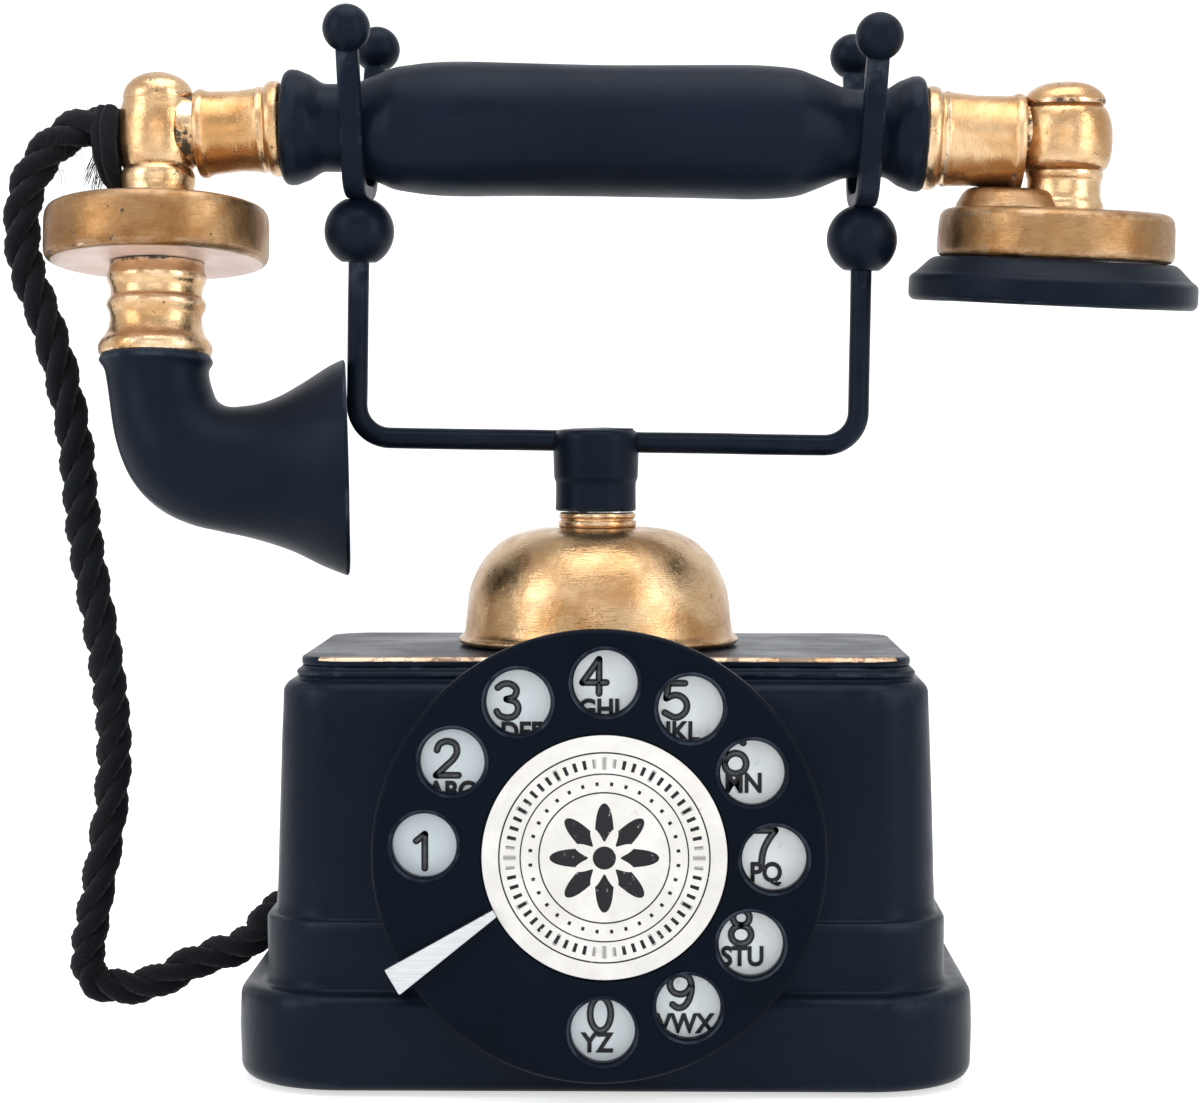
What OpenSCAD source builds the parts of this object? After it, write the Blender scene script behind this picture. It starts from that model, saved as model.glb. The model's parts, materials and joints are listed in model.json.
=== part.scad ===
// French-style cradle telephone: stepped casing, single gong, wire cradle
// with twin-prong forks, ten-hole finger wheel and a handset with a curved
// mouthpiece horn. Millimetres, +Z up, front towards -Y, the origin on the
// table under the gong's axis.

/* [Casing] */
// Half length of the straight core of the plan, to the corner axis
core_x = 52; // [46:1:60]
// Half depth of the straight core of the plan, to the corner axis
core_y = 28; // [24:1:34]
// Corner radius of the plinth, its outermost line
plinth_r = 20.3; // [19:0.1:22]
// Corner radius of the second tier
tier_r = 15.6; // [14.6:0.1:16.5]
// Corner radius of the body above the tiers
body_r = 12.8; // [12.2:0.1:13.5]
// Corner radius of the top plate
top_r = 7; // [6:0.5:8]
// Height of the plinth's upper edge
plinth_z = 20; // [18:0.5:22]
// Height of the second tier's upper edge
tier_z = 34; // [32:0.5:36]
// Height of the shoulder of the body
shoulder_z = 80; // [76:0.5:84]
// Thickness of the casing's walls
wall = 3.6; // [3:0.1:4.5]
// Thickness of the top plate
top_t = 2; // [1.5:0.1:2.5]
// Width of the gilt strip on the front edge of the top plate
trim_w = 1.2; // [0.8:0.1:2]

/* [Base] */
// Thickness of the felt pad that the telephone stands on
pad_t = 1.5; // [1:0.1:2.5]
// Thickness of the steel base plate
plate_t = 2; // [1.5:0.1:3]
// Clearance round pieces that are set into the casing
set_gap = 0.3; // [0.2:0.05:0.4]
// Radius of the screws' shanks
screw_r = 1.5; // [1.2:0.1:2]
// Radius of the bore for the line cord in the rear bush
line_r = 3.5; // [2.5:0.1:4]

/* [Gong and post] */
// Radius of the gong's rim
gong_r = 28.8; // [26:0.2:31]
// Height of the gong from rim to crown
gong_h = 23.7; // [20:0.1:26]
// Thickness of the gong's metal
gong_t = 1.6; // [1.2:0.1:2]
// Gap between the gong's rim and the top plate
gong_gap = 1; // [0.6:0.1:2]
// Radius of the hollow post that carries the gong
post_r = 6; // [5.5:0.1:6.4]
// Height of the gong's round nut
nut_h = 3.2; // [2.5:0.1:4]
// Radius of the gong's round nut
nut_r = 8.2; // [7.6:0.1:9]

/* [Cradle] */
// Radius of the plunger rod under the cradle
rod_r = 3; // [2.5:0.1:3.5]
// Running clearance between rod and post, on the radius
run_gap = 0.05; // [0.02:0.01:0.08]
// How far the cradle rises when the handset is lifted
rise = 4; // [2:0.5:5]
// Radius of the neck sleeve
sleeve_r = 8.1; // [7.8:0.1:8.8]
// Radius of the socket head at its top
head_r = 8.9; // [8.5:0.1:9.6]
// Height of the cradle bar's centre above the table
bar_z = 128.5; // [126:0.5:132]
// Half distance between the uprights
upright_x = 52.6; // [50:0.2:54]
// Radius of the cradle wire
wire_r = 2.2; // [1.8:0.1:2.4]
// Radius of the wire's lower bends
bend_r = 7; // [5:0.5:9]
// Radius of the big balls under the forks
ball_r = 7.35; // [6.6:0.05:7.6]
// Drop of the big balls' centres under the handset's long axis
ball_drop = 22.1; // [21.7:0.1:24.5]
// Width of a fork's strap
strap_w = 4.6; // [3.6:0.1:5]
// Thickness of a fork's strap
strap_t = 3; // [2.4:0.1:3.4]
// Distance of the prongs' balls from the long axis, to the front and the back
fork_y = 18; // [17:0.2:20]
// Inner radius of a fork's lower bends
fork_bend = 3.5; // [2.5:0.5:4.5]
// Turn of each fork about its own axis
fork_turn = 5; // [0:0.5:8]
// Radius of the balls on the prongs
tip_r = 4.9; // [4:0.1:5.2]
// Height of the prongs' ball centres above the handset's long axis
tip_up = 18; // [17:0.1:20]

/* [Handset] */
// Height of the handset's long axis while it rests in the forks
axis_z = 193.7; // [193:0.1:194.5]
// Half length of the grip
grip_x = 67; // [66:0.2:68]
// Radius of the grip's body
grip_r = 14.4; // [13:0.2:15.4]
// Radius of the grip's necks, which lie in the forks
neck_r = 9.1; // [8.4:0.1:9.4]
// Radius of the grip's end beads
bead_r = 12; // [11:0.2:12.6]
// Radius of the steel rod through the grip
core_r = 3; // [2:0.2:4]
// Distance of the transmitter's axis from the middle
tx_x = 93.3; // [92:0.1:95]
// Distance of the receiver's elbow from the middle
rx_x = 96.8; // [94:0.1:98]
// Turn of the transmitter about the handset's long axis, horn to the front
tx_turn = 5.5; // [0:0.5:9]
// Lean of the receiver about its elbow, cap towards the middle
rx_lean = 2.3; // [0:0.1:3]
// Radius of the transmitter's disc
disc_r = 23.6; // [22:0.2:24.6]
// Drop of the disc's underside under the handset's long axis
disc_drop = 25.7; // [24.7:0.1:26.7]
// Thickness of the disc
disc_t = 11.6; // [10:0.2:12.4]
// Radius of the receiver's case
case_r = 24.6; // [23:0.2:26]
// Radius of the receiver's ear cap
cap_r = 30.6; // [28:0.2:30.8]
// Drop of the ear cap's underside under the handset's long axis
cap_drop = 36.2; // [35.2:0.1:37.2]
// Height of the ear cap
cap_t = 9; // [8:0.2:10]
// Drop of the joint between the transmitter's neck and the horn under the long axis
horn_drop = 46.3; // [45.7:0.1:47.1]
// Thickness of the horn's wall
horn_t = 1.7; // [1.3:0.1:2.2]
// Radius of the horn's upper end, at the neck
horn_top = 11.3; // [10.8:0.1:12]
// Reach of the horn's mouth sideways from the transmitter's axis
horn_reach = 38.4; // [37:0.2:39]
// Radius of the elbow balls
elbow_r = 8.6; // [8.2:0.1:9]
// How much wider the receiver's elbow is than the transmitter's
elbow_more = 1; // [0.6:0.1:1.2]

/* [Dial] */
// Height of the dial's centre
dial_z = 48.7; // [46:0.1:50]
// Radius of the finger wheel
wheel_r = 43.75; // [42:0.25:46]
// Thickness of the finger wheel
wheel_t = 3.4; // [2.4:0.1:4]
// Width of the wheel's rim outside the finger holes
rim_w = 4.05; // [3.6:0.05:4.6]
// Radius of a finger hole
hole_r = 6.3; // [5.6:0.1:6.8]
// Angle of the first finger hole, from +X towards +Z
hole_start = 176.3; // [174:0.1:178]
// Angle between neighbouring finger holes
hole_step = 29.45; // [29:0.05:29.8]
// Width of the wheel between the finger holes and the centre label
web_w = 3.4; // [3:0.1:4.4]
// Radius of the dial's case behind the number plate
cup_r = 32.5; // [31:0.5:33.5]
// Front face of the finger wheel, in front of the gong's axis
front_y = 58; // [56:0.2:60]
// Angle of the finger stop
stop_a = 210.5; // [208:0.5:213]
// Running gap between the wheel and the number plate
wheel_gap = 0.6; // [0.4:0.1:1]
// Radius of the dial's shaft
shaft_r = 2.5; // [2:0.1:3]
// Teeth of the main wheel
main_n = 36; // [30:1:40]
// Teeth of the governor's pinion
pinion_n = 12; // [12:1:14]
// Tooth module of the dial's gears
gear_m = 0.8; // [0.7:0.05:0.85]

/* [Cord] */
// Radius of the handset cord
cord_r = 3.8; // [3:0.1:4]

/* [Inside] */
// Height of the hook switch under the cavity's ceiling
switch_h = 22; // [18:1:26]
// Length of the induction coil
coil_long = 34; // [28:1:36]
// Radius of the induction coil
coil_round = 8; // [6:0.5:9]
// Length of the terminal block
block_x = 40; // [36:1:44]
// Length of the condenser's box
box_x = 28; // [22:1:30]
// Height of the condenser's box
box_z = 34; // [28:1:36]

/* [Hidden] */
$fn = 64;
black = [0.11, 0.14, 0.18];
gilt = [0.83, 0.60, 0.32];
steel = [0.66, 0.67, 0.68];
eps = 0.02;

function arc(cx, cy, r, a0, a1, n) =
    [for (i = [0 : n]) let (a = a0 + (a1 - a0) * i / n) [cx + r * cos(a), cy + r * sin(a)]];
function backwards(v) = [for (i = [len(v) - 1 : -1 : 0]) v[i]];
// Catmull-Rom value of a list of rows at a place measured in rows
function cr(v, s) =
    let (n = len(v) - 1, i = min(n - 1, max(0, floor(s))), t = s - i)
    let (a = v[max(0, i - 1)], b = v[i], c = v[i + 1], d = v[min(n, i + 2)])
    0.5 * (2 * b + (c - a) * t + (2 * a - 5 * b + 4 * c - d) * t * t
        + (3 * b - a - 3 * c + d) * t * t * t);

ball_z = axis_z - ball_drop;
tip_z = axis_z + tip_up;
disc_z = axis_z - disc_drop;
cap_z = axis_z - cap_drop;
horn_z = axis_z - horn_drop;

// ---------------------------------------------------------------- casing
floor_z = pad_t;
step_z = shoulder_z + 2;
top_z = shoulder_z + 5.6;
top_low = top_z - top_t;
cavity_z = step_z - 2.2;
plinth_in = tier_r - wall;
body_in = body_r - wall;
plate_z = pad_t + plate_t;
post_reach = plinth_in - 4;

// Half section of the casing from the corner axis outwards
outer = concat(
    [[0, floor_z], [plinth_r - 5.3, floor_z]],
    arc(plinth_r - 5.3, floor_z + 5, 5, -75, 0, 5),
    [[plinth_r, floor_z + 10]],
    arc(plinth_r - 3.1, plinth_z - 2.6, 2.6, 8, 82, 4),
    [[plinth_r - 3.9, plinth_z]],
    [[tier_r + 0.5, plinth_z + 0.4], [tier_r + 0.1, plinth_z + 1], [tier_r, plinth_z + 1.8]],
    [[tier_r, tier_z - 1.4], [tier_r - 0.4, tier_z - 0.5], [tier_r - 1.2, tier_z]],
    [[body_r + 1, tier_z + 0.7], [body_r + 0.5, tier_z + 2], [body_r + 0.2, tier_z + 4.5],
        [body_r, tier_z + 8]],
    [[body_r - 0.5, shoulder_z - 7], [body_r - 0.8, shoulder_z - 3]],
    arc(body_r - 3.6, shoulder_z - 1.8, 2.7, 12, 84, 4),
    [[body_r - 3.6, shoulder_z + 1.6]],
    arc(top_r + 1.4, shoulder_z + 1.9, 1.1, 20, 84, 3),
    [[top_r + 1.4, top_low], [0, top_low]]);

module ring_of(r, z0, z1) {
    translate([0, 0, z0]) linear_extrude(z1 - z0) plan(r);
}

// Rounded rectangle whose corners have the radius r about the corner axes
module plan(r) {
    for (sx = [-1, 1], sy = [-1, 1]) translate([sx * core_x, sy * core_y]) circle(r);
    square([2 * core_x + 2 * r, 2 * core_y], center = true);
    square([2 * core_x, 2 * core_y + 2 * r], center = true);
}

// A half section carried round the rounded rectangle
module round_plan(pts) {
    for (q = [[1, 1, 0], [-1, 1, 90], [-1, -1, 180], [1, -1, 270]])
        translate([q[0] * core_x, q[1] * core_y, 0]) rotate([0, 0, q[2]])
            rotate_extrude(angle = 90) polygon(pts);
    for (s = [-1, 1]) {
        translate([0, s * core_y, 0]) rotate([90, 0, s * 90])
            translate([0, 0, -core_x]) linear_extrude(2 * core_x) polygon(pts);
        translate([s * core_x, 0, 0]) rotate([90, 0, s * 90 - 90])
            translate([0, 0, -core_y]) linear_extrude(2 * core_y) polygon(pts);
    }
    translate([-core_x, -core_y, floor_z])
        cube([2 * core_x, 2 * core_y, top_low - floor_z]);
}

boss_r = wheel_r - 3.8;
hole_pitch = wheel_r - rim_w - hole_r;
label_r = hole_pitch - hole_r - web_w;
plate_face = -front_y + wheel_t + wheel_gap;
plate_thick = 1;
case_front = plate_face + plate_thick;
flange_t = 2.4;
boss_y = case_front + flange_t;
cup_depth = 22;
boss_back = core_y + top_r + 0.5;
screw_at = [core_x + post_reach * cos(45), core_y + post_reach * sin(45)];
cord_exit = [-(core_x + tier_r), 18, plinth_z + 7.2];
bush_at = [0, core_y + tier_r, plinth_z + 7.2];
gland_r = cord_r + 1.6;
gland_t = 1.6;
bush_r = line_r + 1.8;
lip = 0.8;

module casing() {
    color(black) difference() {
        union() {
            round_plan(outer);
            translate([0, 0, dial_z]) rotate([90, 0, 0]) translate([0, 0, boss_back])
                cylinder(r = boss_r, h = -boss_y - boss_back);
        }
        ring_of(plinth_in, floor_z - 1, tier_z - 2);
        ring_of(body_in, tier_z - 3, cavity_z);
        translate([0, 0, dial_z]) rotate([90, 0, 0]) translate([0, 0, core_y - 2])
            cylinder(r = cup_r + set_gap, h = front_y);
        translate([0, 0, cavity_z - 1]) cylinder(r = post_r + 2 + eps, h = 20);
        translate(cord_exit) rotate([0, 90, 0]) cylinder(r = gland_r, h = 20, center = true);
        translate(bush_at) rotate([90, 0, 0]) cylinder(r = bush_r, h = 20, center = true);
        translate([stop_foot[0], -stop_back, stop_foot[1]]) rotate([90, 0, 0])
            cylinder(r = leg_wire + eps, h = 2 * stop_deep, center = true);
    }
    color(black) for (sx = [-1, 1], sy = [-1, 1])
        translate([sx * screw_at[0], sy * screw_at[1], plate_z]) difference() {
            cylinder(r = 4.6, h = tier_z - 4 - plate_z);
            translate([0, 0, -1]) cylinder(r = screw_r, h = 14);
        }
}

module top_plate() {
    color(black) difference() {
        union() {
            ring_of(top_r, top_low, top_z - 0.5);
            ring_of(top_r - 0.5, top_z - 0.6, top_z);
        }
        translate([0, 0, top_low - 1]) cylinder(r = post_r + 2 + eps, h = top_t + 2);
        translate([-core_x, -core_y - top_r - 1, top_z - 0.8])
            cube([2 * core_x, trim_w + 1, 2]);
    }
}

module trim_strip() {
    color(gilt) translate([-core_x + 0.2, -core_y - top_r, top_z - 0.8])
        cube([2 * core_x - 0.4, trim_w, 0.9]);
}

module base_plate() {
    color(steel) difference() {
        ring_of(plinth_in - set_gap, pad_t, plate_z);
        for (sx = [-1, 1], sy = [-1, 1])
            translate([sx * screw_at[0], sy * screw_at[1], pad_t]) {
                translate([0, 0, -1]) cylinder(r = screw_r + 0.15, h = 6);
                translate([0, 0, -eps]) cylinder(r1 = 2.9, r2 = screw_r + 0.15, h = 1.3);
            }
    }
}

module base_pad() {
    color([0.09, 0.10, 0.11]) ring_of(plinth_in - set_gap - 0.6, 0, pad_t);
}

module base_screws() {
    color(steel) for (sx = [-1, 1], sy = [-1, 1])
        translate([sx * screw_at[0], sy * screw_at[1], pad_t]) {
            cylinder(r1 = 2.8, r2 = screw_r, h = 1.25);
            cylinder(r = screw_r - 0.05, h = plate_t + 10);
        }
}

module line_bush() {
    color(black) translate([0, bush_at[1], bush_at[2]]) rotate([90, 0, 0]) difference() {
        union() {
            translate([0, 0, -2.5]) cylinder(r = bush_r + lip, h = 2.5);
            cylinder(r = bush_r - eps, h = wall + 2);
        }
        translate([0, 0, -6]) cylinder(r = line_r, h = wall + 12);
    }
}

module cord_gland() {
    color(black) translate(cord_exit) rotate([0, 90, 0]) {
        translate([0, 0, -gland_t]) cylinder(r = gland_r + lip, h = gland_t);
        cylinder(r = gland_r - eps, h = wall + 1.5);
    }
}

// ------------------------------------------------------------------ gong
rim_z = top_z + gong_gap;
crown_z = rim_z + gong_h;
tube_top = crown_z + nut_h + rise + 1;

function gong_side(d) = [
    [gong_r - d * 0.6, rim_z], [gong_r - 0.3 - d, rim_z + 1.2],
    [gong_r * 0.968 - d, rim_z + 2.2], [gong_r * 0.958 - d, rim_z + gong_h * 0.22],
    [gong_r * 0.94 - d, rim_z + gong_h * 0.42], [gong_r * 0.905 - d, rim_z + gong_h * 0.56],
    [gong_r * 0.845 - d * 0.95, rim_z + gong_h * 0.7 - d * 0.3],
    [gong_r * 0.76 - d * 0.8, rim_z + gong_h * 0.82 - d * 0.6],
    [gong_r * 0.66 - d * 0.6, rim_z + gong_h * 0.91 - d * 0.8],
    [gong_r * 0.55 - d * 0.3, rim_z + gong_h * 0.965 - d],
    [gong_r * 0.42, crown_z - 0.1 - d]];

module gong() {
    color(gilt) rotate_extrude($fn = 96) polygon(concat(
        gong_side(0), [[post_r + 2, crown_z], [post_r + eps, crown_z]],
        [[post_r + eps, crown_z - gong_t - 0.1]], backwards(gong_side(gong_t))));
}

module gong_nut() {
    color(gilt) rotate_extrude() polygon([[post_r + eps, crown_z], [nut_r - 0.3, crown_z],
        [nut_r, crown_z + 0.5], [nut_r, crown_z + nut_h * 0.42], [nut_r - 0.5, crown_z + nut_h * 0.5],
        [nut_r - 0.5, crown_z + nut_h * 0.6], [nut_r - 0.1, crown_z + nut_h * 0.68],
        [nut_r - 0.1, crown_z + nut_h - 0.4], [nut_r - 0.5, crown_z + nut_h],
        [post_r + eps, crown_z + nut_h]]);
}

module gong_post() {
    color(steel) difference() {
        union() {
            translate([0, 0, cavity_z - 2]) cylinder(r = post_r + 4.5, h = 2);
            translate([0, 0, cavity_z - eps])
                cylinder(r = post_r + 2, h = crown_z - gong_t - 0.1 - cavity_z + eps);
            translate([0, 0, crown_z - gong_t - 0.1 - eps])
                cylinder(r = post_r, h = tube_top - crown_z + gong_t + 0.1 + eps);
        }
        translate([0, 0, cavity_z - 5]) cylinder(r = rod_r + run_gap, h = tube_top - cavity_z + 10);
    }
}

coil_r = gong_r * 0.14;
bobbin_r = coil_r + 0.6;
post_clear = post_r + 2.5;
coil_h = gong_h * 0.34;
coil_at = [gong_r * 0.42, post_clear + bobbin_r];
pivot_at = [-gong_r * 0.49, -gong_r * 0.42];
strike_at = [gong_r * 0.2, -gong_r * 0.73];
pin_r = 1.2;
frame_t = 1.4;

module ringer_frame() {
    color(steel) {
        translate([-coil_at[0] - bobbin_r, post_clear, top_z])
            cube([2 * coil_at[0] + 2 * bobbin_r, 2 * bobbin_r, frame_t]);
        translate([-coil_at[0] - bobbin_r, pivot_at[1] - 4, top_z])
            cube([coil_at[0] + bobbin_r - post_clear, post_clear - pivot_at[1] + 4 + eps, frame_t]);
        translate([pivot_at[0], pivot_at[1], top_z]) cylinder(r = pin_r, h = 7);
    }
}

module ringer_coils() {
    color([0.48, 0.22, 0.12]) for (s = [-1, 1])
        translate([s * coil_at[0], coil_at[1], top_z + frame_t]) {
            cylinder(r = bobbin_r, h = 0.8);
            cylinder(r = coil_r, h = coil_h);
            translate([0, 0, coil_h - 0.8]) cylinder(r = bobbin_r, h = 0.8);
        }
}

arm_z = top_z + frame_t + 0.3;
arm = strike_at - pivot_at;
module clapper() {
    color(gilt) difference() {
        union() {
            translate([pivot_at[0], pivot_at[1], arm_z]) cylinder(r = 2.8, h = 4);
            translate([pivot_at[0], pivot_at[1], arm_z + 2])
                rotate([0, 90, atan2(arm[1], arm[0])]) cylinder(r = 0.9, h = norm(arm));
            translate([strike_at[0], strike_at[1], arm_z + 2]) sphere(r = 2.1);
        }
        translate([pivot_at[0], pivot_at[1], arm_z - 1])
            cylinder(r = pin_r + run_gap, h = 6);
    }
}

// ------------------------------------------------------- inside the casing
module hook_switch() {
    w = switch_h * 0.54;
    color([0.78, 0.72, 0.52]) {
        translate([-core_x / 2, -w / 2, cavity_z - switch_h]) cube([w, w, switch_h]);
        for (i = [0 : 2])
            translate([w - core_x / 2 - eps, -w / 3, cavity_z - 8 - i * (rise + 1)])
                cube([core_x / 2 - w - rod_r - 1.5, w * 0.66, 0.8]);
    }
}

module terminal_block() {
    color([0.45, 0.28, 0.18]) translate([-block_x / 2, core_y * 0.36, plate_z])
        cube([block_x, core_y * 0.43, block_x * 0.22]);
    color(gilt) for (i = [-1.5 : 1 : 1.5])
        translate([i * block_x * 0.22, core_y * 0.57, plate_z + block_x * 0.22 - eps])
            cylinder(r = block_x * 0.06, h = 2);
}

module induction_coil() {
    f = coil_round + 1;
    color([0.55, 0.30, 0.16]) translate([-core_x * 0.85, -core_y * 0.29, plate_z + f])
        rotate([0, 90, 0]) {
            cylinder(r = coil_round, h = coil_long);
            for (x = [0, coil_long - 2.5]) translate([-f, -f, x]) cube([2 * f, 2 * f, 2.5]);
        }
}

module condenser() {
    color(steel) translate([core_x - 4 - box_x, -core_y * 0.36, plate_z])
        cube([box_x, core_y * 0.57, box_z]);
}

// ------------------------------------------------------------------ dial
module face_on(y) {
    translate([0, y, dial_z]) rotate([90, 0, 0]) children();
}

gear_y = plate_face + plate_thick + 4;
pinion_d = gear_m * (main_n + pinion_n) / 2;
pinion_a = 140;
pinion_at = [pinion_d * cos(pinion_a), pinion_d * sin(pinion_a)];
gear_t = 3;
case_floor = boss_y + cup_depth - 2;

module dial_case() {
    color(steel) face_on(0) difference() {
        union() {
            translate([0, 0, -boss_y]) cylinder(r = boss_r + 1, h = flange_t);
            translate([0, 0, -boss_y - cup_depth]) cylinder(r = cup_r, h = cup_depth + 1);
        }
        translate([0, 0, -case_floor]) cylinder(r = cup_r - 1.6, h = 40);
        translate([0, 0, -case_floor - 5]) cylinder(r = shaft_r + run_gap, h = 10);
        translate([pinion_at[0], pinion_at[1], -case_floor - 5])
            cylinder(r = 1.2 + run_gap, h = 10);
    }
}

module number_plate() {
    color([0.86, 0.89, 0.92]) face_on(plate_face) rotate([180, 0, 0]) difference() {
        cylinder(r = boss_r + 1, h = plate_thick);
        translate([0, 0, -1]) cylinder(r = shaft_r + 2, h = 4);
    }
}

leg_wire = 1.7;
leg_r = wheel_r + 0.4 + leg_wire;
stop_foot = [leg_r * cos(stop_a), dial_z + leg_r * sin(stop_a)];
stop_back = core_y + tier_r;
stop_deep = 2.4;
blade_t = 1;
blade_y = -front_y - 0.8;

module finger_stop() {
    color(steel) {
        face_on(blade_y) rotate([0, 0, stop_a]) linear_extrude(blade_t) polygon([
            [label_r - 0.4, 1.2], [label_r + 0.6, 1.9], [leg_r + leg_wire - 1, 3.4],
            [leg_r + leg_wire, 2.4], [leg_r + leg_wire, -2.4], [leg_r + leg_wire - 1, -3.4],
            [label_r + 0.6, -1.9], [label_r - 0.4, -1.2]]);
        translate([stop_foot[0], -stop_back + stop_deep - eps, stop_foot[1]]) rotate([90, 0, 0])
            cylinder(r = leg_wire, h = -blade_y - stop_back + stop_deep);
    }
}

module finger_wheel() {
    color(black) face_on(-front_y + wheel_t) difference() {
        rotate_extrude($fn = 120) polygon([[shaft_r + eps, 0], [wheel_r - 0.6, 0], [wheel_r, 0.6],
            [wheel_r, wheel_t - 1.1], [wheel_r - 0.9, wheel_t], [label_r + 0.4, wheel_t],
            [label_r + 0.4, wheel_t - 0.7], [shaft_r + eps, wheel_t - 0.7]]);
        for (i = [0 : 9]) rotate([0, 0, hole_start - i * hole_step])
            translate([hole_pitch, 0, -1]) {
                cylinder(r = hole_r, h = wheel_t + 2);
                translate([0, 0, wheel_t + 1 - 0.7])
                    cylinder(r1 = hole_r, r2 = hole_r + 0.8, h = 0.8);
            }
    }
}

module label_disc() {
    color([0.93, 0.91, 0.86]) face_on(-front_y + 0.7) cylinder(r = label_r, h = 0.9);
}

module dial_shaft() {
    color(steel) face_on(0) {
        translate([0, 0, -case_floor - 1.6])
            cylinder(r = shaft_r, h = front_y - 0.7 + case_floor + 1.6);
        translate([0, 0, front_y - wheel_t - 2.6 - wheel_gap])
            cylinder(r = shaft_r + 1.5, h = 2.6 + wheel_gap);
    }
}

// Involute tooth flanks: base radius rb, a point where the radius is r
function inv(a) = tan(a) * 180 / PI - a;
function flank(rb, r, half) =
    let (a = acos(min(1, rb / r))) [r, half - inv(a)];
// Both flanks of every tooth, in order round the gear
function gear_outline(n, m, back) =
    let (rp = n * m / 2, pa = 25, rb = rp * cos(pa), ra = rp + 0.8 * m, rf = rp - 1.1 * m)
    let (half = 90 / n - back / rp * 90 / PI + inv(pa), r0 = max(rb, rf + 0.01))
    let (fl = [for (i = [0 : 4]) flank(rb, r0 + (ra - r0) * i / 4, half)])
    [for (k = [0 : n - 1]) let (c = k * 360 / n)
        for (p = concat([[rf, -fl[0][1]]], [for (f = fl) [f[0], -f[1]]],
                backwards(fl), [[rf, fl[0][1]]]))
            [p[0] * cos(c + p[1]), p[0] * sin(c + p[1])]];

module main_gear() {
    color(gilt) face_on(gear_y + gear_t) rotate([0, 0, pinion_a]) difference() {
        linear_extrude(gear_t) polygon(gear_outline(main_n, gear_m, 0.06));
        translate([0, 0, -1]) cylinder(r = shaft_r + eps, h = gear_t + 2);
        for (i = [0 : 4]) rotate([0, 0, i * 72])
            translate([main_n * gear_m * 0.31, 0, -1])
                cylinder(r = main_n * gear_m * 0.09, h = gear_t + 2);
    }
}

pinion_phase = pinion_a + 180 + 180 / pinion_n;
module governor_pinion() {
    color(gilt) face_on(0) translate([pinion_at[0], pinion_at[1], 0]) {
        translate([0, 0, -gear_y - gear_t - 0.4]) rotate([0, 0, pinion_phase])
            linear_extrude(gear_t + 0.8) polygon(gear_outline(pinion_n, gear_m, 0.06));
        translate([0, 0, -case_floor - 1.6])
            cylinder(r = 1.2, h = case_floor + 1.6 - gear_y + 2);
        translate([0, 0, -gear_y - gear_t - 5]) cylinder(r = 6.4, h = 2.2);
    }
}

// Bridge that carries the front end of the governor's shaft
module governor_bridge() {
    color(steel) face_on(0) difference() {
        translate([pinion_at[0], pinion_at[1], -gear_y + 0.9]) rotate([0, 0, pinion_a])
            translate([-3, -4, 0]) cube([cup_r - 1.8 - pinion_d + 2.6, 8, 1.6]);
        translate([pinion_at[0], pinion_at[1], -gear_y])
            cylinder(r = 1.2 + run_gap, h = 6);
    }
}

// ---------------------------------------------------------------- cradle
sleeve_z = crown_z + nut_h + 0.3;
socket_top = bar_z + 2.4;
head_z = sleeve_z + 6.3;
rod_top = tube_top + 3.4;

module plunger_rod() {
    color(steel) translate([0, 0, cavity_z - 22])
        cylinder(r = rod_r, h = rod_top - cavity_z + 22);
}

module cradle_socket() {
    color(black) difference() {
        rotate_extrude() polygon([[0, tube_top + 0.8], [post_r + 0.35, tube_top + 0.8],
            [post_r + 0.35, sleeve_z], [sleeve_r + 0.1, sleeve_z], [sleeve_r, sleeve_z + 0.6],
            [sleeve_r - 0.1, head_z - 0.6], [sleeve_r, head_z], [sleeve_r + 0.3, head_z + 0.7],
            [head_r - 0.2, head_z + 6], [head_r, socket_top - 1.6], [head_r - 0.5, socket_top - 0.5],
            [head_r - 1.6, socket_top], [0, socket_top + 0.4]]);
        translate([0, 0, tube_top]) cylinder(r = rod_r + eps, h = rod_top - tube_top + eps);
        translate([0, 0, bar_z]) rotate([0, 90, 0])
            cylinder(r = wire_r + eps, h = 40, center = true);
    }
}

module cradle_frame() {
    color(black) {
        translate([0, 0, bar_z]) rotate([0, 90, 0])
            cylinder(r = wire_r, h = 2 * (upright_x - bend_r), center = true);
        for (s = [-1, 1]) {
            translate([s * (upright_x - bend_r), 0, bar_z + bend_r]) rotate([90, 0, 0])
                rotate([0, 0, s > 0 ? -90 : 180]) rotate_extrude(angle = 90)
                    translate([bend_r, 0]) circle(wire_r);
            translate([s * upright_x, 0, bar_z + bend_r])
                cylinder(r = wire_r, h = ball_z - ball_r - bar_z - bend_r + 1);
        }
    }
}

module cradle_balls() {
    color(black) for (s = [-1, 1]) translate([s * upright_x, 0, ball_z]) difference() {
        sphere(r = ball_r);
        translate([0, 0, -ball_r - 1]) cylinder(r = wire_r + eps, h = 2.02);
        translate([0, 0, ball_r - 0.7]) cylinder(r = ball_r, h = 5);
    }
}

fork_low = ball_z + ball_r - 0.7;
strap_mid = fork_low + strap_t / 2;
// The prongs lean so that the handset's neck seats between them
seat = 0.25;
prong_lean = acos((neck_r + seat + strap_t / 2) / norm([fork_y, tip_up])) - atan2(tip_up, fork_y);
bend_mid = fork_bend + strap_t / 2;
floor_y = fork_y - (tip_z - strap_mid) * tan(prong_lean) - bend_mid * tan(45 - prong_lean / 2);

module strap_section() {
    c = 0.7;
    polygon([[-strap_t / 2 + c, -strap_w / 2], [strap_t / 2 - c, -strap_w / 2],
        [strap_t / 2, -strap_w / 2 + c], [strap_t / 2, strap_w / 2 - c],
        [strap_t / 2 - c, strap_w / 2], [-strap_t / 2 + c, strap_w / 2],
        [-strap_t / 2, strap_w / 2 - c], [-strap_t / 2, -strap_w / 2 + c]]);
}

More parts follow.
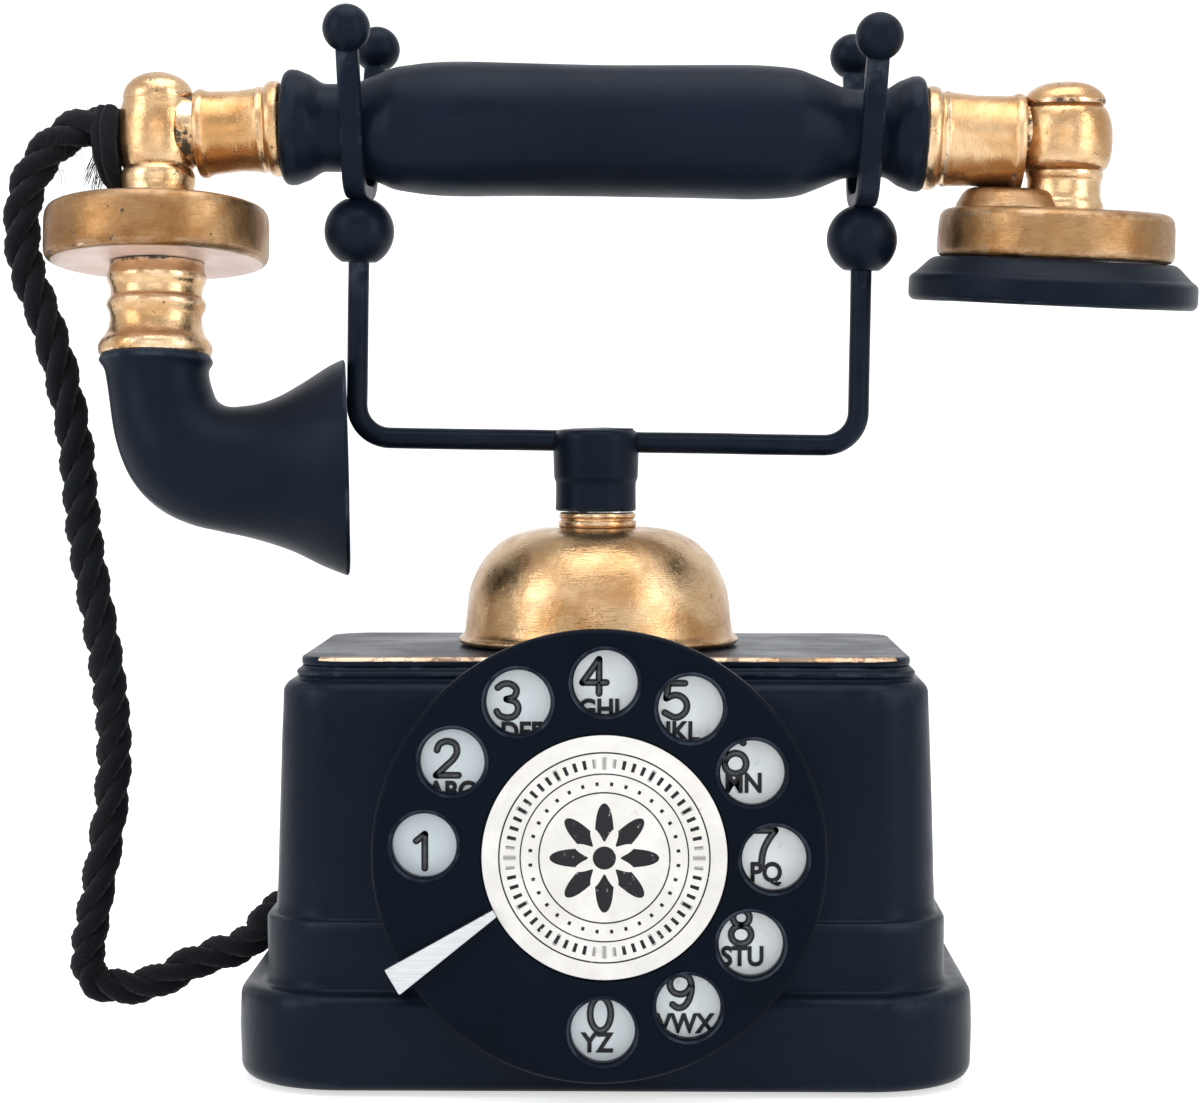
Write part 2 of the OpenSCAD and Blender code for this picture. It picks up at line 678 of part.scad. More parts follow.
// Fork with two leaning prongs, one in front and one behind
module fork() {
    translate([0, -floor_y - eps, strap_mid]) rotate([-90, 0, 0]) rotate([0, 0, 90])
        linear_extrude(2 * floor_y + 2 * eps) strap_section();
    for (s = [-1, 1]) rotate([0, 0, s > 0 ? 0 : 180]) {
        translate([0, floor_y, strap_mid + bend_mid]) rotate([90, 0, 90]) rotate([0, 0, -90])
            rotate_extrude(angle = 90 - prong_lean) translate([bend_mid, 0]) strap_section();
        translate([0, fork_y, tip_z]) rotate([180 - prong_lean, 0, 0])
            translate([0, 0, tip_r - 0.6]) rotate([0, 0, 90])
                linear_extrude((tip_z - strap_mid) / cos(prong_lean)
                    - bend_mid * tan(45 - prong_lean / 2) - tip_r + 0.6 + eps) strap_section();
    }
}

module fork_left() {
    color(black) translate([-upright_x, 0, 0]) rotate([0, 0, -fork_turn]) fork();
}

module fork_right() {
    color(black) translate([upright_x, 0, 0]) rotate([0, 0, fork_turn]) fork();
}

module fork_tips() {
    color(black) for (s = [-1, 1], t = [-1, 1])
        translate([s * upright_x, 0, 0]) rotate([0, 0, s * fork_turn])
            translate([0, t * fork_y, tip_z]) rotate([-t * prong_lean, 0, 0]) difference() {
                sphere(r = tip_r);
                translate([-tip_r, -tip_r, -2 * tip_r + 0.6]) cube([2 * tip_r, 2 * tip_r, tip_r]);
            }
}

// --------------------------------------------------------------- handset
module along_x(x) {
    translate([x, 0, axis_z]) rotate([0, 90, 0]) children();
}

function ease(t) = (1 - cos(180 * t)) / 2;
shoulder_x = grip_x - 17.5;
body_x = grip_x - 31.5;
grip_half = concat(
    [[core_r + eps, grip_x]],
    [[bead_r - 1.6, grip_x]], arc(bead_r - 1.6, grip_x - 1.6, 1.6, 80, 0, 4),
    [[bead_r - 0.1, grip_x - 2.8], [bead_r - 0.6, grip_x - 4]],
    [for (i = [1 : 6]) let (t = i / 6)
        [bead_r - 0.8 + (neck_r - bead_r + 0.8) * ease(t), grip_x - 4.4 - 4.6 * t]],
    [[neck_r, shoulder_x + 2]],
    [for (i = [1 : 10]) let (t = i / 10)
        [neck_r + (grip_r - 0.6 - neck_r) * ease(t), shoulder_x + 1.4 - (shoulder_x - body_x) * t]],
    [for (i = [1 : 3]) let (t = i / 3)
        [grip_r - 0.6 + 0.6 * sin(90 * t), body_x - (body_x + 1.4) * t * 0.8 + 1.4]]);

module grip() {
    color(black) along_x(0) rotate_extrude($fn = 96) polygon(concat(
        grip_half, [for (p = backwards(grip_half)) [p[0], -p[1]]]));
}

left_face = tx_x - elbow_r - 0.2;
right_face = rx_x - elbow_r - elbow_more - 0.2;
rod_in = 1.7;

module grip_rod() {
    color(steel) along_x(-left_face - rod_in)
        cylinder(r = core_r, h = left_face + right_face + 2 * rod_in);
}

function ferrule_pts(collar, barrel, x0, x1) = [[core_r + eps, x0], [collar - 0.5, x0],
    [collar, x0 + 0.6], [collar, x0 + 2.6], [collar - 0.4, x0 + 3.2], [collar - 1, x0 + 3.4],
    [collar - 1, x0 + 4], [barrel + 0.4, x0 + 4.5], [barrel, x0 + 5.4],
    [barrel - 0.3, (x0 + x1) / 2], [barrel, x1 - 2.2], [barrel + 0.5, x1 - 1.6],
    [barrel + 0.5, x1 - 0.5], [barrel, x1], [core_r + eps, x1]];

module ferrule_left() {
    color(gilt) mirror([1, 0, 0]) along_x(0) rotate_extrude()
        polygon(ferrule_pts(10, 8.2, grip_x, left_face));
}

module ferrule_right() {
    color(gilt) along_x(0) rotate_extrude()
        polygon(ferrule_pts(10.8, 9.2, grip_x, right_face));
}

// Ball elbow on the z axis: a ball with a domed cap over it and a neck under it
disc_top = disc_z + disc_t;
case_z = cap_z + cap_t;
case_top = case_z + 11.6;
module turned() {
    translate([0, 0, axis_z]) rotate([-tx_turn, 0, 0]) translate([0, 0, -axis_z]) children();
}

module leaning() {
    translate([rx_x, 0, axis_z]) rotate([0, rx_lean, 0]) translate([-rx_x, 0, -axis_z]) children();
}

// Half section of an elbow's barrel and its dome, in shares of radius and height
elbow_side = [[0, -0.9], [0.8, -0.98], [0.9, -0.86], [0.96, -0.66], [0.995, -0.36], [1, -0.1],
    [0.99, 0.2], [0.95, 0.46], [0.88, 0.66], [0.8, 0.77], [0.8, 0.8], [0.85, 0.83], [0.85, 0.92],
    [0.81, 1.06], [0.7, 1.22], [0.5, 1.36], [0.25, 1.43], [0, 1.45]];
module elbow(r, v, x, low, neck, face, out) {
    translate([x, 0, 0]) difference() {
        union() {
            translate([0, 0, axis_z]) rotate_extrude() polygon([for (p = elbow_side) [p[0] * r, p[1] * v]]);
            translate([0, 0, axis_z]) rotate(out < 0 ? [-tx_turn, 0, 0] : [0, rx_lean, 0])
                translate([0, 0, low - axis_z]) rotate_extrude() polygon([[0, 0], [neck + 0.7, 0],
                    [neck + 0.7, 1.8], [neck + 0.3, 3.2], [neck, 4], [neck + 0.1, 4.8],
                    [neck - 0.3, 5.4], [neck - 0.8, 5.9], [neck - 0.8, 6.6], [0, 9]]);
            translate([0, 0, axis_z]) rotate([0, out < 0 ? 90 : -90, 0])
                cylinder(r = v * 0.86, h = abs(x) - face);
        }
        translate([0, 0, axis_z]) rotate([0, out < 0 ? 90 : -90, 0])
            translate([0, 0, abs(x) - face - rod_in - eps]) cylinder(r = core_r + eps, h = 10);
        if (out < 0) translate([-2 * r + 0.9, -r, axis_z - v * 0.6]) cube([r, 2 * r, v * 1.2]);
    }
}

module elbow_left() {
    color(gilt) elbow(elbow_r, elbow_r, -tx_x, disc_top, elbow_r - 1.2, left_face, -1);
}

module elbow_right() {
    color(gilt) elbow(elbow_r + elbow_more, elbow_r - elbow_more, rx_x, case_top,
        elbow_r - 1.4, right_face, 1);
}

module receiver_case() {
    color(gilt) leaning() translate([rx_x, 0, 0]) rotate_extrude($fn = 96) polygon([
        [0, case_top], [case_r - 3.2, case_top], [case_r - 1.2, case_top - 0.6],
        [case_r - 0.2, case_top - 1.8], [case_r, case_top - 3.4], [case_r, case_z + 1.6],
        [case_r - 0.5, case_z + 0.4], [case_r - 1, case_z], [case_r - 3.4, case_z],
        [case_r - 3.4, case_top - 3], [0, case_top - 3]]);
}

module receiver_cap() {
    color(black) leaning() translate([rx_x, 0, 0]) difference() {
        rotate_extrude($fn = 96) polygon(concat(
            [[0, cap_z + 1.8], [8, cap_z + 1.4], [cap_r - 11, cap_z + 0.4], [cap_r - 3.4, cap_z]],
            arc(cap_r - 1.6, cap_z + 1.6, 1.6, -75, 0, 4),
            [[cap_r, cap_z + 4.6], [cap_r - 0.4, cap_z + 5.6], [cap_r - 1.4, cap_z + 6.3]],
            [[case_r + 0.8, cap_z + cap_t - 0.4], [case_r + 0.2, cap_z + cap_t], [0, cap_z + cap_t]]));
        translate([0, 0, cap_z + 4.4]) cylinder(r = case_r - 4, h = cap_t);
        cylinder(r = 2.6, h = cap_z + 20);
        for (i = [0 : 5]) rotate([0, 0, i * 60]) translate([7, 0, 0])
            cylinder(r = 1.3, h = cap_z + 20);
    }
}

module receiver_capsule() {
    color(steel) leaning() translate([rx_x, 0, cap_z + 7])
        cylinder(r = case_r - 4.6, h = case_top - 3 - cap_z - 7);
}

module transmitter_disc() {
    color(gilt) turned() translate([-tx_x, 0, disc_z]) rotate_extrude($fn = 96) polygon([[0, 0],
        [disc_r - 1.8, 0], [disc_r - 0.5, 0.6], [disc_r, 1.8], [disc_r, disc_t - 2.6],
        [disc_r - 0.4, disc_t - 1], [disc_r - 1.6, disc_t], [0, disc_t]]);
}

neck_h = disc_z - horn_z;
module transmitter_neck() {
    t = horn_top;
    bore = horn_top - horn_t - 1;
    color(gilt) turned() translate([-tx_x, 0, horn_z]) rotate_extrude() polygon([
        [bore, 0], [t - 0.1, 0], [t + 0.4, neck_h * 0.06], [t + 0.3, neck_h * 0.13],
        [t - 0.7, neck_h * 0.2], [t - 1.5, neck_h * 0.27], [t - 1.9, neck_h * 0.36],
        [t - 1.8, neck_h * 0.45], [t - 1.2, neck_h * 0.52], [t - 1.1, neck_h * 0.57],
        [t - 1.7, neck_h * 0.61], [t - 1.9, neck_h * 0.68], [t - 1.6, neck_h * 0.76],
        [t - 1.1, neck_h * 0.82], [t - 1.2, neck_h * 0.88], [t - 1.5, neck_h], [bore - 2.6, neck_h],
        [bore - 2.6, neck_h * 0.7], [bore, neck_h * 0.5]]);
}

// Horn: rows of [x from the transmitter's axis, z under the joint, heading,
// growth of the radius], the lengths in shares of the reach
horn_rows = [[0, 0, 0, 0], [0.005, -0.078, 0, -0.013], [0.026, -0.208, 8, -0.016],
    [0.06, -0.365, 26, 0], [0.12, -0.484, 42, 0.026], [0.208, -0.5625, 55, 0.044],
    [0.323, -0.604, 66, 0.057], [0.453, -0.62, 74, 0.07], [0.5885, -0.62, 80, 0.1016],
    [0.7526, -0.6146, 86, 0.1667], [0.901, -0.62, 90, 0.2474], [1, -0.625, 92, 0.2917]];
horn_rings = 27;
horn_sides = 32;
function horn_row(i) = cr(horn_rows, i * (len(horn_rows) - 1) / (horn_rings - 1));
function horn_ring(i, d) =
    let (h = horn_row(i), c = cos(h[2]), s = sin(h[2]), r = horn_top + h[3] * horn_reach - d)
    [for (k = [0 : horn_sides - 1]) let (a = k * 360 / horn_sides)
        [h[0] * horn_reach + r * cos(a) * c, r * sin(a), h[1] * horn_reach + r * cos(a) * s]];

// Closed skin through a loop of rings, each with the same number of points
function ring_faces(n, m) =
    [for (i = [0 : n - 1], k = [0 : m - 1]) let (j = (i + 1) % n, l = (k + 1) % m)
        each [[i * m + k, i * m + l, j * m + l], [i * m + k, j * m + l, j * m + k]]];

module mouthpiece_horn() {
    rings = concat([for (i = [0 : horn_rings - 1]) horn_ring(i, 0)],
        [for (i = [horn_rings - 1 : -1 : 0]) horn_ring(i, horn_t)]);
    color(black) turned() translate([-tx_x, 0, horn_z])
        polyhedron([for (r = rings) each r], ring_faces(2 * horn_rings, horn_sides));
}

// ------------------------------------------------------------------ cord
gland_x = -tx_x - elbow_r + 0.9;
module handset_gland() {
    color(black) translate([gland_x - gland_t, 0, axis_z]) rotate([0, 90, 0])
        cylinder(r = cord_r + 0.5, h = gland_t);
}

cord_start = [gland_x - gland_t, 0, axis_z];
cord_end = [cord_exit[0] - gland_t, cord_exit[1], cord_exit[2]];
cord_way = [[-107, 0, 194.5], [-112, 0.5, 193], [-117, 1, 189], [-121, 1.5, 182.5], [-122.6, 2, 174.5],
    [-121.8, 2.5, 165], [-118, 3, 154], [-115, 4, 143], [-112.5, 5, 130], [-111.5, 6, 118],
    [-110.5, 7, 106], [-108.5, 9, 92], [-107, 11, 80], [-106, 13, 66], [-107, 16, 52], [-109.5, 19, 38],
    [-112, 21, 26], [-114, 22, 15.5], [-113.5, 22.5, 8.5], [-109, 22.5, 4.6], [-103, 22, 4.4],
    [-95, 21, 7], [-88, 20, 11.5], [-82, 19, 17.5], [-76, 18, 24.5]];
// The way keeps its low loop, and stretches with the height of the handset
function stretched(p) = p[2] < way_low ? p
    : [p[0], p[1], way_low + (p[2] - way_low) * (axis_z - way_low) / (way_high - way_low)];
way_low = 38;
way_high = 193.7;
cord_rows = concat([cord_start], [for (p = cord_way) stretched(p)], [cord_end]);
cord_rings = 54;
cord_sides = 10;
function unit(v) = v / norm(v);
function cord_at(i) = cr(cord_rows, i * (len(cord_rows) - 1) / (cord_rings - 1));
function cord_dir(i) = i == 0 || i == cord_rings - 1 ? [i == 0 ? -1 : 1, 0, 0]
    : unit(cord_at(i + 1) - cord_at(i - 1));
function cord_ring(i) =
    let (t = cord_dir(i), u = unit(cross(t, [0, 1, 0])), v = cross(t, u))
    [for (k = [0 : cord_sides - 1]) let (a = k * 360 / cord_sides)
        cord_at(i) + cord_r * (cos(a) * u + sin(a) * v)];
function tube_faces(n, m) = concat(
    [for (i = [0 : n - 2], k = [0 : m - 1]) let (l = (k + 1) % m)
        each [[i * m + k, (i + 1) * m + l, i * m + l], [i * m + k, (i + 1) * m + k, (i + 1) * m + l]]],
    [[for (k = [0 : m - 1]) k]], [[for (k = [m - 1 : -1 : 0]) (n - 1) * m + k]]);

module handset_cord() {
    color([0.05, 0.05, 0.06])
        polyhedron([for (i = [0 : cord_rings - 1]) each cord_ring(i)],
            tube_faces(cord_rings, cord_sides));
}

casing();
top_plate();
trim_strip();
base_plate();
base_pad();
base_screws();
line_bush();
cord_gland();
gong_post();
gong();
gong_nut();
ringer_frame();
ringer_coils();
clapper();
hook_switch();
terminal_block();
induction_coil();
condenser();
dial_case();
number_plate();
finger_stop();
finger_wheel();
label_disc();
dial_shaft();
main_gear();
governor_pinion();
governor_bridge();
plunger_rod();
cradle_socket();
cradle_frame();
cradle_balls();
fork_left();
fork_right();
fork_tips();
grip();
grip_rod();
ferrule_left();
ferrule_right();
elbow_left();
elbow_right();
receiver_case();
receiver_cap();
receiver_capsule();
transmitter_disc();
transmitter_neck();
mouthpiece_horn();
handset_gland();
handset_cord();
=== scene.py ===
"""Looks of a French-style cradle telephone, laid out as an add-on and run as a script.

All lengths in the helpers are millimetres in the object's own frame, +Z up and
the dial towards -Y; they become metres where a mesh is made.
"""

import json
import math

import bmesh
import bpy
from mathutils import Matrix, Vector, noise

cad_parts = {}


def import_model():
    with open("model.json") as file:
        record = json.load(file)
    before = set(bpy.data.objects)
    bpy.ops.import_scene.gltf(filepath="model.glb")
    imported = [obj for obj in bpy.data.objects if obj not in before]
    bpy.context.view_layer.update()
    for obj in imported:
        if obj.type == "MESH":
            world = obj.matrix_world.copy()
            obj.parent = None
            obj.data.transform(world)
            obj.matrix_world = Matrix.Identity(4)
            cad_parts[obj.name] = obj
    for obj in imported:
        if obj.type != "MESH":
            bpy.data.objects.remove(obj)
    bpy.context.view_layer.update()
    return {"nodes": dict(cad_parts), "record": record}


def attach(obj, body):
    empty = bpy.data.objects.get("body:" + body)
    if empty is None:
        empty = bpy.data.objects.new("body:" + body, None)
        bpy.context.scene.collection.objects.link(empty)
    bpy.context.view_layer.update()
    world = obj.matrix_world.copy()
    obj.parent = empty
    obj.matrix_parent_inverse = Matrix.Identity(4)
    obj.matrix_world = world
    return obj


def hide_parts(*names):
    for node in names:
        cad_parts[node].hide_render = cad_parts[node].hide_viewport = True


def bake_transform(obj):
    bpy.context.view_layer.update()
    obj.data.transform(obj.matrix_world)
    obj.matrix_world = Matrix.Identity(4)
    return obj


bl_info = {
    "name": "Cradle telephone",
    "version": (1, 0, 0),
    "blender": (4, 5, 0),
    "location": "View3D > Sidebar > Telephone",
    "description": "Builds the casing, dial, gong, cradle and handset of a cradle telephone",
    "category": "Object",
}

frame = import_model()
MM = 0.001
TAU = 2 * math.pi


# ------------------------------------------------------------- user's values
def length(name, note, default):
    return bpy.props.FloatProperty(name=name, description=note, default=default, unit="LENGTH")


def paint(name, note, *default):
    return bpy.props.FloatVectorProperty(name=name, description=note, subtype="COLOR", size=3, default=default)


class TelephoneSizes(bpy.types.PropertyGroup):
    """Values of the view, the hand-made unevenness and the cord, in metres and radians."""

    camera_distance: length("Camera distance", "From the camera to the gong's axis", 0.65)
    camera_height: length("Camera height", "Height of the camera above the table", 0.1328)
    camera_turn: bpy.props.FloatProperty(
        name="Camera turn", description="Azimuth of the camera", default=math.radians(1.0), subtype="ANGLE"
    )
    hand_wobble: length("Hand wobble", "Unevenness of cast and painted faces", 0.00012)
    rope_pitch: length("Rope pitch", "Length in which a strand goes once round the cord", 0.0225)
    yarn_ridge: length("Yarn ridge", "Height of the yarns on a strand", 0.00011)
    fibre_count: bpy.props.IntProperty(
        name="Stray fibres", description="Loose fibres along the cord", default=70, min=0
    )


class TelephoneColours(bpy.types.PropertyGroup):
    """Colours of the finishes, scene linear."""

    lacquer: paint("Lacquer", "Black lacquer", 0.0046, 0.0080, 0.0150)
    gilt: paint("Gilt", "Gilt paint", 0.56, 0.37, 0.19)
    enamel: paint("Enamel", "Number plate", 0.80, 0.94, 1.0)
    card: paint("Card", "Centre label", 0.80, 0.775, 0.735)
    rope: paint("Rope", "Handset cord", 0.0034, 0.0042, 0.0060)


def sizes():
    return bpy.context.scene.telephone_sizes


def colours():
    return bpy.context.scene.telephone_colours


# ------------------------------------------------------------- mesh helpers
def bowl(cx, cy, rx, ry, a0=0, a1=360, n=28):
    """Points on an arc of an ellipse, angles in degrees."""
    angles = [math.radians(a0 + (a1 - a0) * i / n) for i in range(n + 1)]
    return [(cx + rx * math.cos(a), cy + ry * math.sin(a)) for a in angles]


def arc(cx, cy, r, a0, a1, n):
    """Points on an arc of a circle, angles in degrees."""
    return bowl(cx, cy, r, r, a0, a1, n)


def soften(points, reach, steps=4, closed=False):
    """Rounds the corners of a profile, each over at most reach."""
    out = []
    n = len(points)
    for i, p in enumerate(points):
        p = Vector(p)
        if not closed and i in (0, n - 1):
            out.append(tuple(p))
            continue
        a, b = Vector(points[i - 1]), Vector(points[(i + 1) % n])
        da, db = (a - p).length, (b - p).length
        if min(da, db) < 1e-6:
            continue
        ra, rb = min(reach, da * 0.48), min(reach, db * 0.48)
        s, e = p + (a - p) * (ra / da), p + (b - p) * (rb / db)
        for k in range(steps + 1):
            t = k / steps
            out.append(tuple((1 - t) ** 2 * s + 2 * t * (1 - t) * p + t * t * e))
    return out


def smooth_curve(rows, per):
    """Catmull-Rom through rows of numbers, per steps between two rows."""

    def between(x, y, z, w, t):
        bend = (2 * x - 5 * y + 4 * z - w) * t * t + (3 * y - x - 3 * z + w) * t * t * t
        return 0.5 * (2 * y + (z - x) * t + bend)

    out = []
    n = len(rows) - 1
    for i in range(n):
        near = rows[max(0, i - 1)], rows[i], rows[i + 1], rows[min(n, i + 2)]
        out += [tuple(between(*c, k / per) for c in zip(*near)) for k in range(per)]
    return out + [tuple(rows[-1])]


def wobble(v, amount, scale=0.035, seed=0.0):
    """Moves a point a little, as hand-finished faces are uneven."""
    if not amount:
        return v
    p = Vector(v) * scale + Vector((seed, seed * 0.7, 3.1))
    apart = ((0, 0, 0), (31.4, 0, 0), (0, 47.1, 0))
    return Vector(v) + Vector([noise.noise(p + Vector(a)) for a in apart]) * (amount / MM)


def piece_of(name, bm, material, sharp):
    """A bmesh in metres becomes an object, smooth but for edges past an angle in degrees."""
    for f in bm.faces:
        f.smooth = True
    limit = math.radians(sharp)
    for e in bm.edges:
        e.smooth = not (len(e.link_faces) == 2 and e.calc_face_angle(0.0) > limit)
    mesh = bpy.data.meshes.new(name)
    bm.to_mesh(mesh)
    bm.free()
    mesh.materials.append(material)
    ob = bpy.data.objects.new(name, mesh)
    bpy.context.scene.collection.objects.link(ob)
    return ob


def finish_mesh(name, bm, finish, body, node=None, sharp=42):
    """A bmesh in millimetres becomes a finished piece riding on a body."""
    bmesh.ops.remove_doubles(bm, verts=bm.verts, dist=0.0004)
    for v in bm.verts:
        v.co = v.co * MM
    ob = piece_of(name, bm, FINISHES[finish], sharp)
    if body:
        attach(ob, body)
    if node:
        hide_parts(node)
    return ob


def skin(bm, rings, loop_rings=False, uv=None):
    """Faces between rings of points, each ring closed; the ends are capped unless the rings loop."""
    rows = [[bm.verts.new(p) for p in r] for r in rings]
    n = len(rows[0])
    m = len(rows)
    layer = bm.loops.layers.uv.verify() if uv else None
    for i in range(m if loop_rings else m - 1):
        a, b = rows[i], rows[(i + 1) % m]
        for k in range(n):
            f = bm.faces.new((a[k], a[(k + 1) % n], b[(k + 1) % n], b[k]))
            if layer:
                for loop, (ii, kk) in zip(f.loops, ((i, k), (i, k + 1), (i + 1, k + 1), (i + 1, k))):
                    loop[layer].uv = uv(ii, kk)
    if not loop_rings:
        bm.faces.new(list(reversed(rows[0])))
        bm.faces.new(rows[-1])


def outwards(bm):
    """Turns the faces of a closed bmesh outwards."""
    bmesh.ops.recalc_face_normals(bm, faces=bm.faces)
    return bm


def bridge(bm, a, b):
    """Faces between two rings of vertices."""
    for k in range(len(a)):
        l = (k + 1) % len(a)
        bm.faces.new((a[k], a[l], b[l], b[k]))


def ring_about(p, u, v, sides, radius):
    """Points round p in the plane of u and v; radius is a function of the angle."""
    angles = [TAU * k / sides for k in range(sides)]
    return [Vector(p) + (u * math.cos(a) + v * math.sin(a)) * radius(a) for a in angles]


def turned(profile, place, segs=128, uneven=0.0, seed=0.0):
    """A bmesh from a half section of (radius, height) turned about an axis.

    place is a 4x4 matrix in millimetres that carries the z axis to where the piece is.
    """
    bm = bmesh.new()
    rings = []
    for r, z in profile:
        if r < 1e-6:
            rings.append([bm.verts.new(place @ Vector((0, 0, z)))])
            continue
        ring = [place @ Vector((r * math.cos(TAU * k / segs), r * math.sin(TAU * k / segs), z)) for k in range(segs)]
        rings.append([bm.verts.new(wobble(p, uneven, seed=seed)) for p in ring])
    pairs = list(zip(rings, rings[1:]))
    if not (len(rings[0]) == 1 and len(rings[-1]) == 1):
        pairs.append((rings[-1], rings[0]))
    for a, b in pairs:
        for k in range(segs if max(len(a), len(b)) > 1 else 0):
            l = (k + 1) % segs
            corners = a[k % len(a)], b[k % len(b)], b[l % len(b)], a[l % len(a)]
            bm.faces.new(list(dict.fromkeys(corners)))
    return outwards(bm)


def merge_in(bm, other):
    """Adds another bmesh to this one."""
    mesh = bpy.data.meshes.new("scratch")
    other.to_mesh(mesh)
    other.free()
    bm.from_mesh(mesh)
    bpy.data.meshes.remove(mesh)
    return bm


def off_axis(bm, dx, bore=6.1, over=1.4):
    """Moves the outside of a piece on the post sideways; its bore stays."""
    for v in bm.verts:
        v.co.x += dx * min(1.0, max(0.0, (math.hypot(v.co.x, v.co.y) - bore) / over))
    return bm


def at(x=0, y=0, z=0, rot=None):
    m = Matrix.Translation((x, y, z))
    return m @ rot if rot else m


ALONG_X = Matrix.Rotation(math.pi / 2, 4, "Y")
FACE_ON = Matrix.Rotation(math.pi / 2, 4, "X")
AXIS_Z = 193.7  # the handset's axis
TX, RX = -93.3, 96.8  # the transmitter's and the receiver's axes


def turned_about(x, z, degrees, axis="Y", move=(0, 0, 0)):
    """A turn about a line through (x, 0, z), then a small move."""
    return at(*move) @ at(x, 0, z) @ Matrix.Rotation(math.radians(degrees), 4, axis) @ at(-x, 0, -z)


# As hand-fitted pieces stand: the transmitter hangs tipped, the receiver leans
# and the cradle is not quite upright
TIPPED = turned_about(0, AXIS_Z, -7.2, "X", (0, 0, -0.5))
TILTED = turned_about(-40, AXIS_Z, 0.7)
LEANING = TILTED @ turned_about(RX, AXIS_Z, 1.7)
HANGING = LEANING @ turned_about(0, 178, 2.5, "X", (-1.5, 0, 0))
UNEVEN_CRADLE = turned_about(0, 128.5, 1.0, "Y", (0.6, 0, -0.2))


def cad_copy(node, name, finish):
    """A CAD node's own shape, merged, with softened edges."""
    bevel, sharp = 0.3, 30
    src = frame["nodes"][node]
    bm = bmesh.new()
    bm.from_mesh(src.data)
    bm.transform(src.matrix_world)
    bmesh.ops.remove_doubles(bm, verts=bm.verts, dist=1e-6)
    bmesh.ops.dissolve_limit(bm, angle_limit=math.radians(1.0), verts=bm.verts, edges=bm.edges)
    ob = piece_of(name, bm, FINISHES[finish], sharp)
    b = ob.modifiers.new("soft edges", "BEVEL")
    b.width = bevel * MM
    b.segments = 3
    b.limit_method = "ANGLE"
    b.angle_limit = math.radians(sharp)
    b.harden_normals = True
    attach(ob, BODY_OF[node])
    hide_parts(node)


BODY_OF = {n: b for b, ns in frame["record"]["behaviour"]["bodies"].items() for n in ns}
SLOT_OF = {s["node"]: s["material_slot"] for s in frame["record"]["subparts"]}


# --------------------------------------------------------- material helpers
def feed(tree, socket, value):
    """Links a socket or sets a value; None leaves the input as it is."""
    if isinstance(value, bpy.types.NodeSocket):
        tree.links.new(value, socket)
    elif value is not None:
        socket.default_value = value


def put(tree, kind, *values, props=(), out=0, **named):
    """A new node with its inputs fed in order and by name; gives one output."""
    node = tree.nodes.new(kind)
    for name, value in dict(props).items():
        setattr(node, name, value)
    for socket, value in zip(node.inputs, values):
        feed(tree, socket, value)
    for name, value in named.items():
        feed(tree, node.inputs[name.replace("_", " ")], value)
    return node.outputs[out] if node.outputs else None


def rgba(colour):
    return colour if isinstance(colour, bpy.types.NodeSocket) else (*colour, 1.0)


class Nodes:
    """Short calls for building a material's node tree."""

    def __init__(self, name):
        self.mat = bpy.data.materials.new(name)
        self.mat.use_nodes = True
        self.tree = self.mat.node_tree
        self.tree.nodes.clear()
        self.bsdf = self.tree.nodes.new("ShaderNodeBsdfPrincipled")
        put(self.tree, "ShaderNodeOutputMaterial", self.bsdf.outputs[0])
        self.coord = self.tree.nodes.new("ShaderNodeTexCoord").outputs

    def place(self, scale=(1, 1, 1), turn=(0, 0, 0), move=(0, 0, 0)):
        where = self.coord["Object"]
        return put(self.tree, "ShaderNodeMapping", Vector=where, Scale=scale, Rotation=turn, Location=move)

    def noise(self, vector, scale, detail=3.0, rough=0.55, distort=0.0):
        values = {"Scale": scale, "Detail": detail, "Roughness": rough, "Distortion": distort}
        return put(self.tree, "ShaderNodeTexNoise", Vector=vector, **values)

    def cells(self, vector, scale):
        return put(self.tree, "ShaderNodeTexVoronoi", Vector=vector, Scale=scale)

    def math(self, op, a, b=None, clamp=False):
        return put(self.tree, "ShaderNodeMath", a, b, props={"operation": op, "use_clamp": clamp})

    def mul(self, a, b, clamp=False):
        return self.math("MULTIPLY", a, b, clamp)

    def plus(self, a, b, clamp=False):
        return self.math("ADD", a, b, clamp)

    def less(self, a, b, clamp=False):
        return self.math("SUBTRACT", a, b, clamp)

    def most(self, first, *others):
        for other in others:
            first = self.math("MAXIMUM", first, other)
        return first

    def ramp(self, value, lo, hi, to_lo=0.0, to_hi=1.0, smooth=True):
        kind = {"interpolation_type": "SMOOTHSTEP" if smooth else "LINEAR"}
        return put(self.tree, "ShaderNodeMapRange", value, lo, hi, to_lo, to_hi, props=kind)

    def mix(self, fac, a, b):
        node = self.tree.nodes.new("ShaderNodeMix")
        node.data_type = "RGBA"
        for socket, value in zip((0, 6, 7), (fac, rgba(a), rgba(b))):
            feed(self.tree, node.inputs[socket], value)
        return node.outputs[2]

    def bump(self, height, strength, distance):
        normal = put(self.tree, "ShaderNodeBump", Strength=strength, Distance=distance, Height=height)
        feed(self.tree, self.bsdf.inputs["Normal"], normal)

    def parts(self, vector):
        node = self.tree.nodes.new("ShaderNodeSeparateXYZ")
        feed(self.tree, node.inputs[0], vector)
        return tuple(node.outputs)

    def geometry(self, name):
        return self.tree.nodes.new("ShaderNodeNewGeometry").outputs[name]

    def done(self, colour, rough, metal, **extra):
        values = {"Base Color": rgba(colour), "Roughness": rough, "Metallic": metal, **extra}
        for name, value in values.items():
            feed(self.tree, self.bsdf.inputs[name.replace("_", " ")], value)
        return self.mat


FINISHES = {}


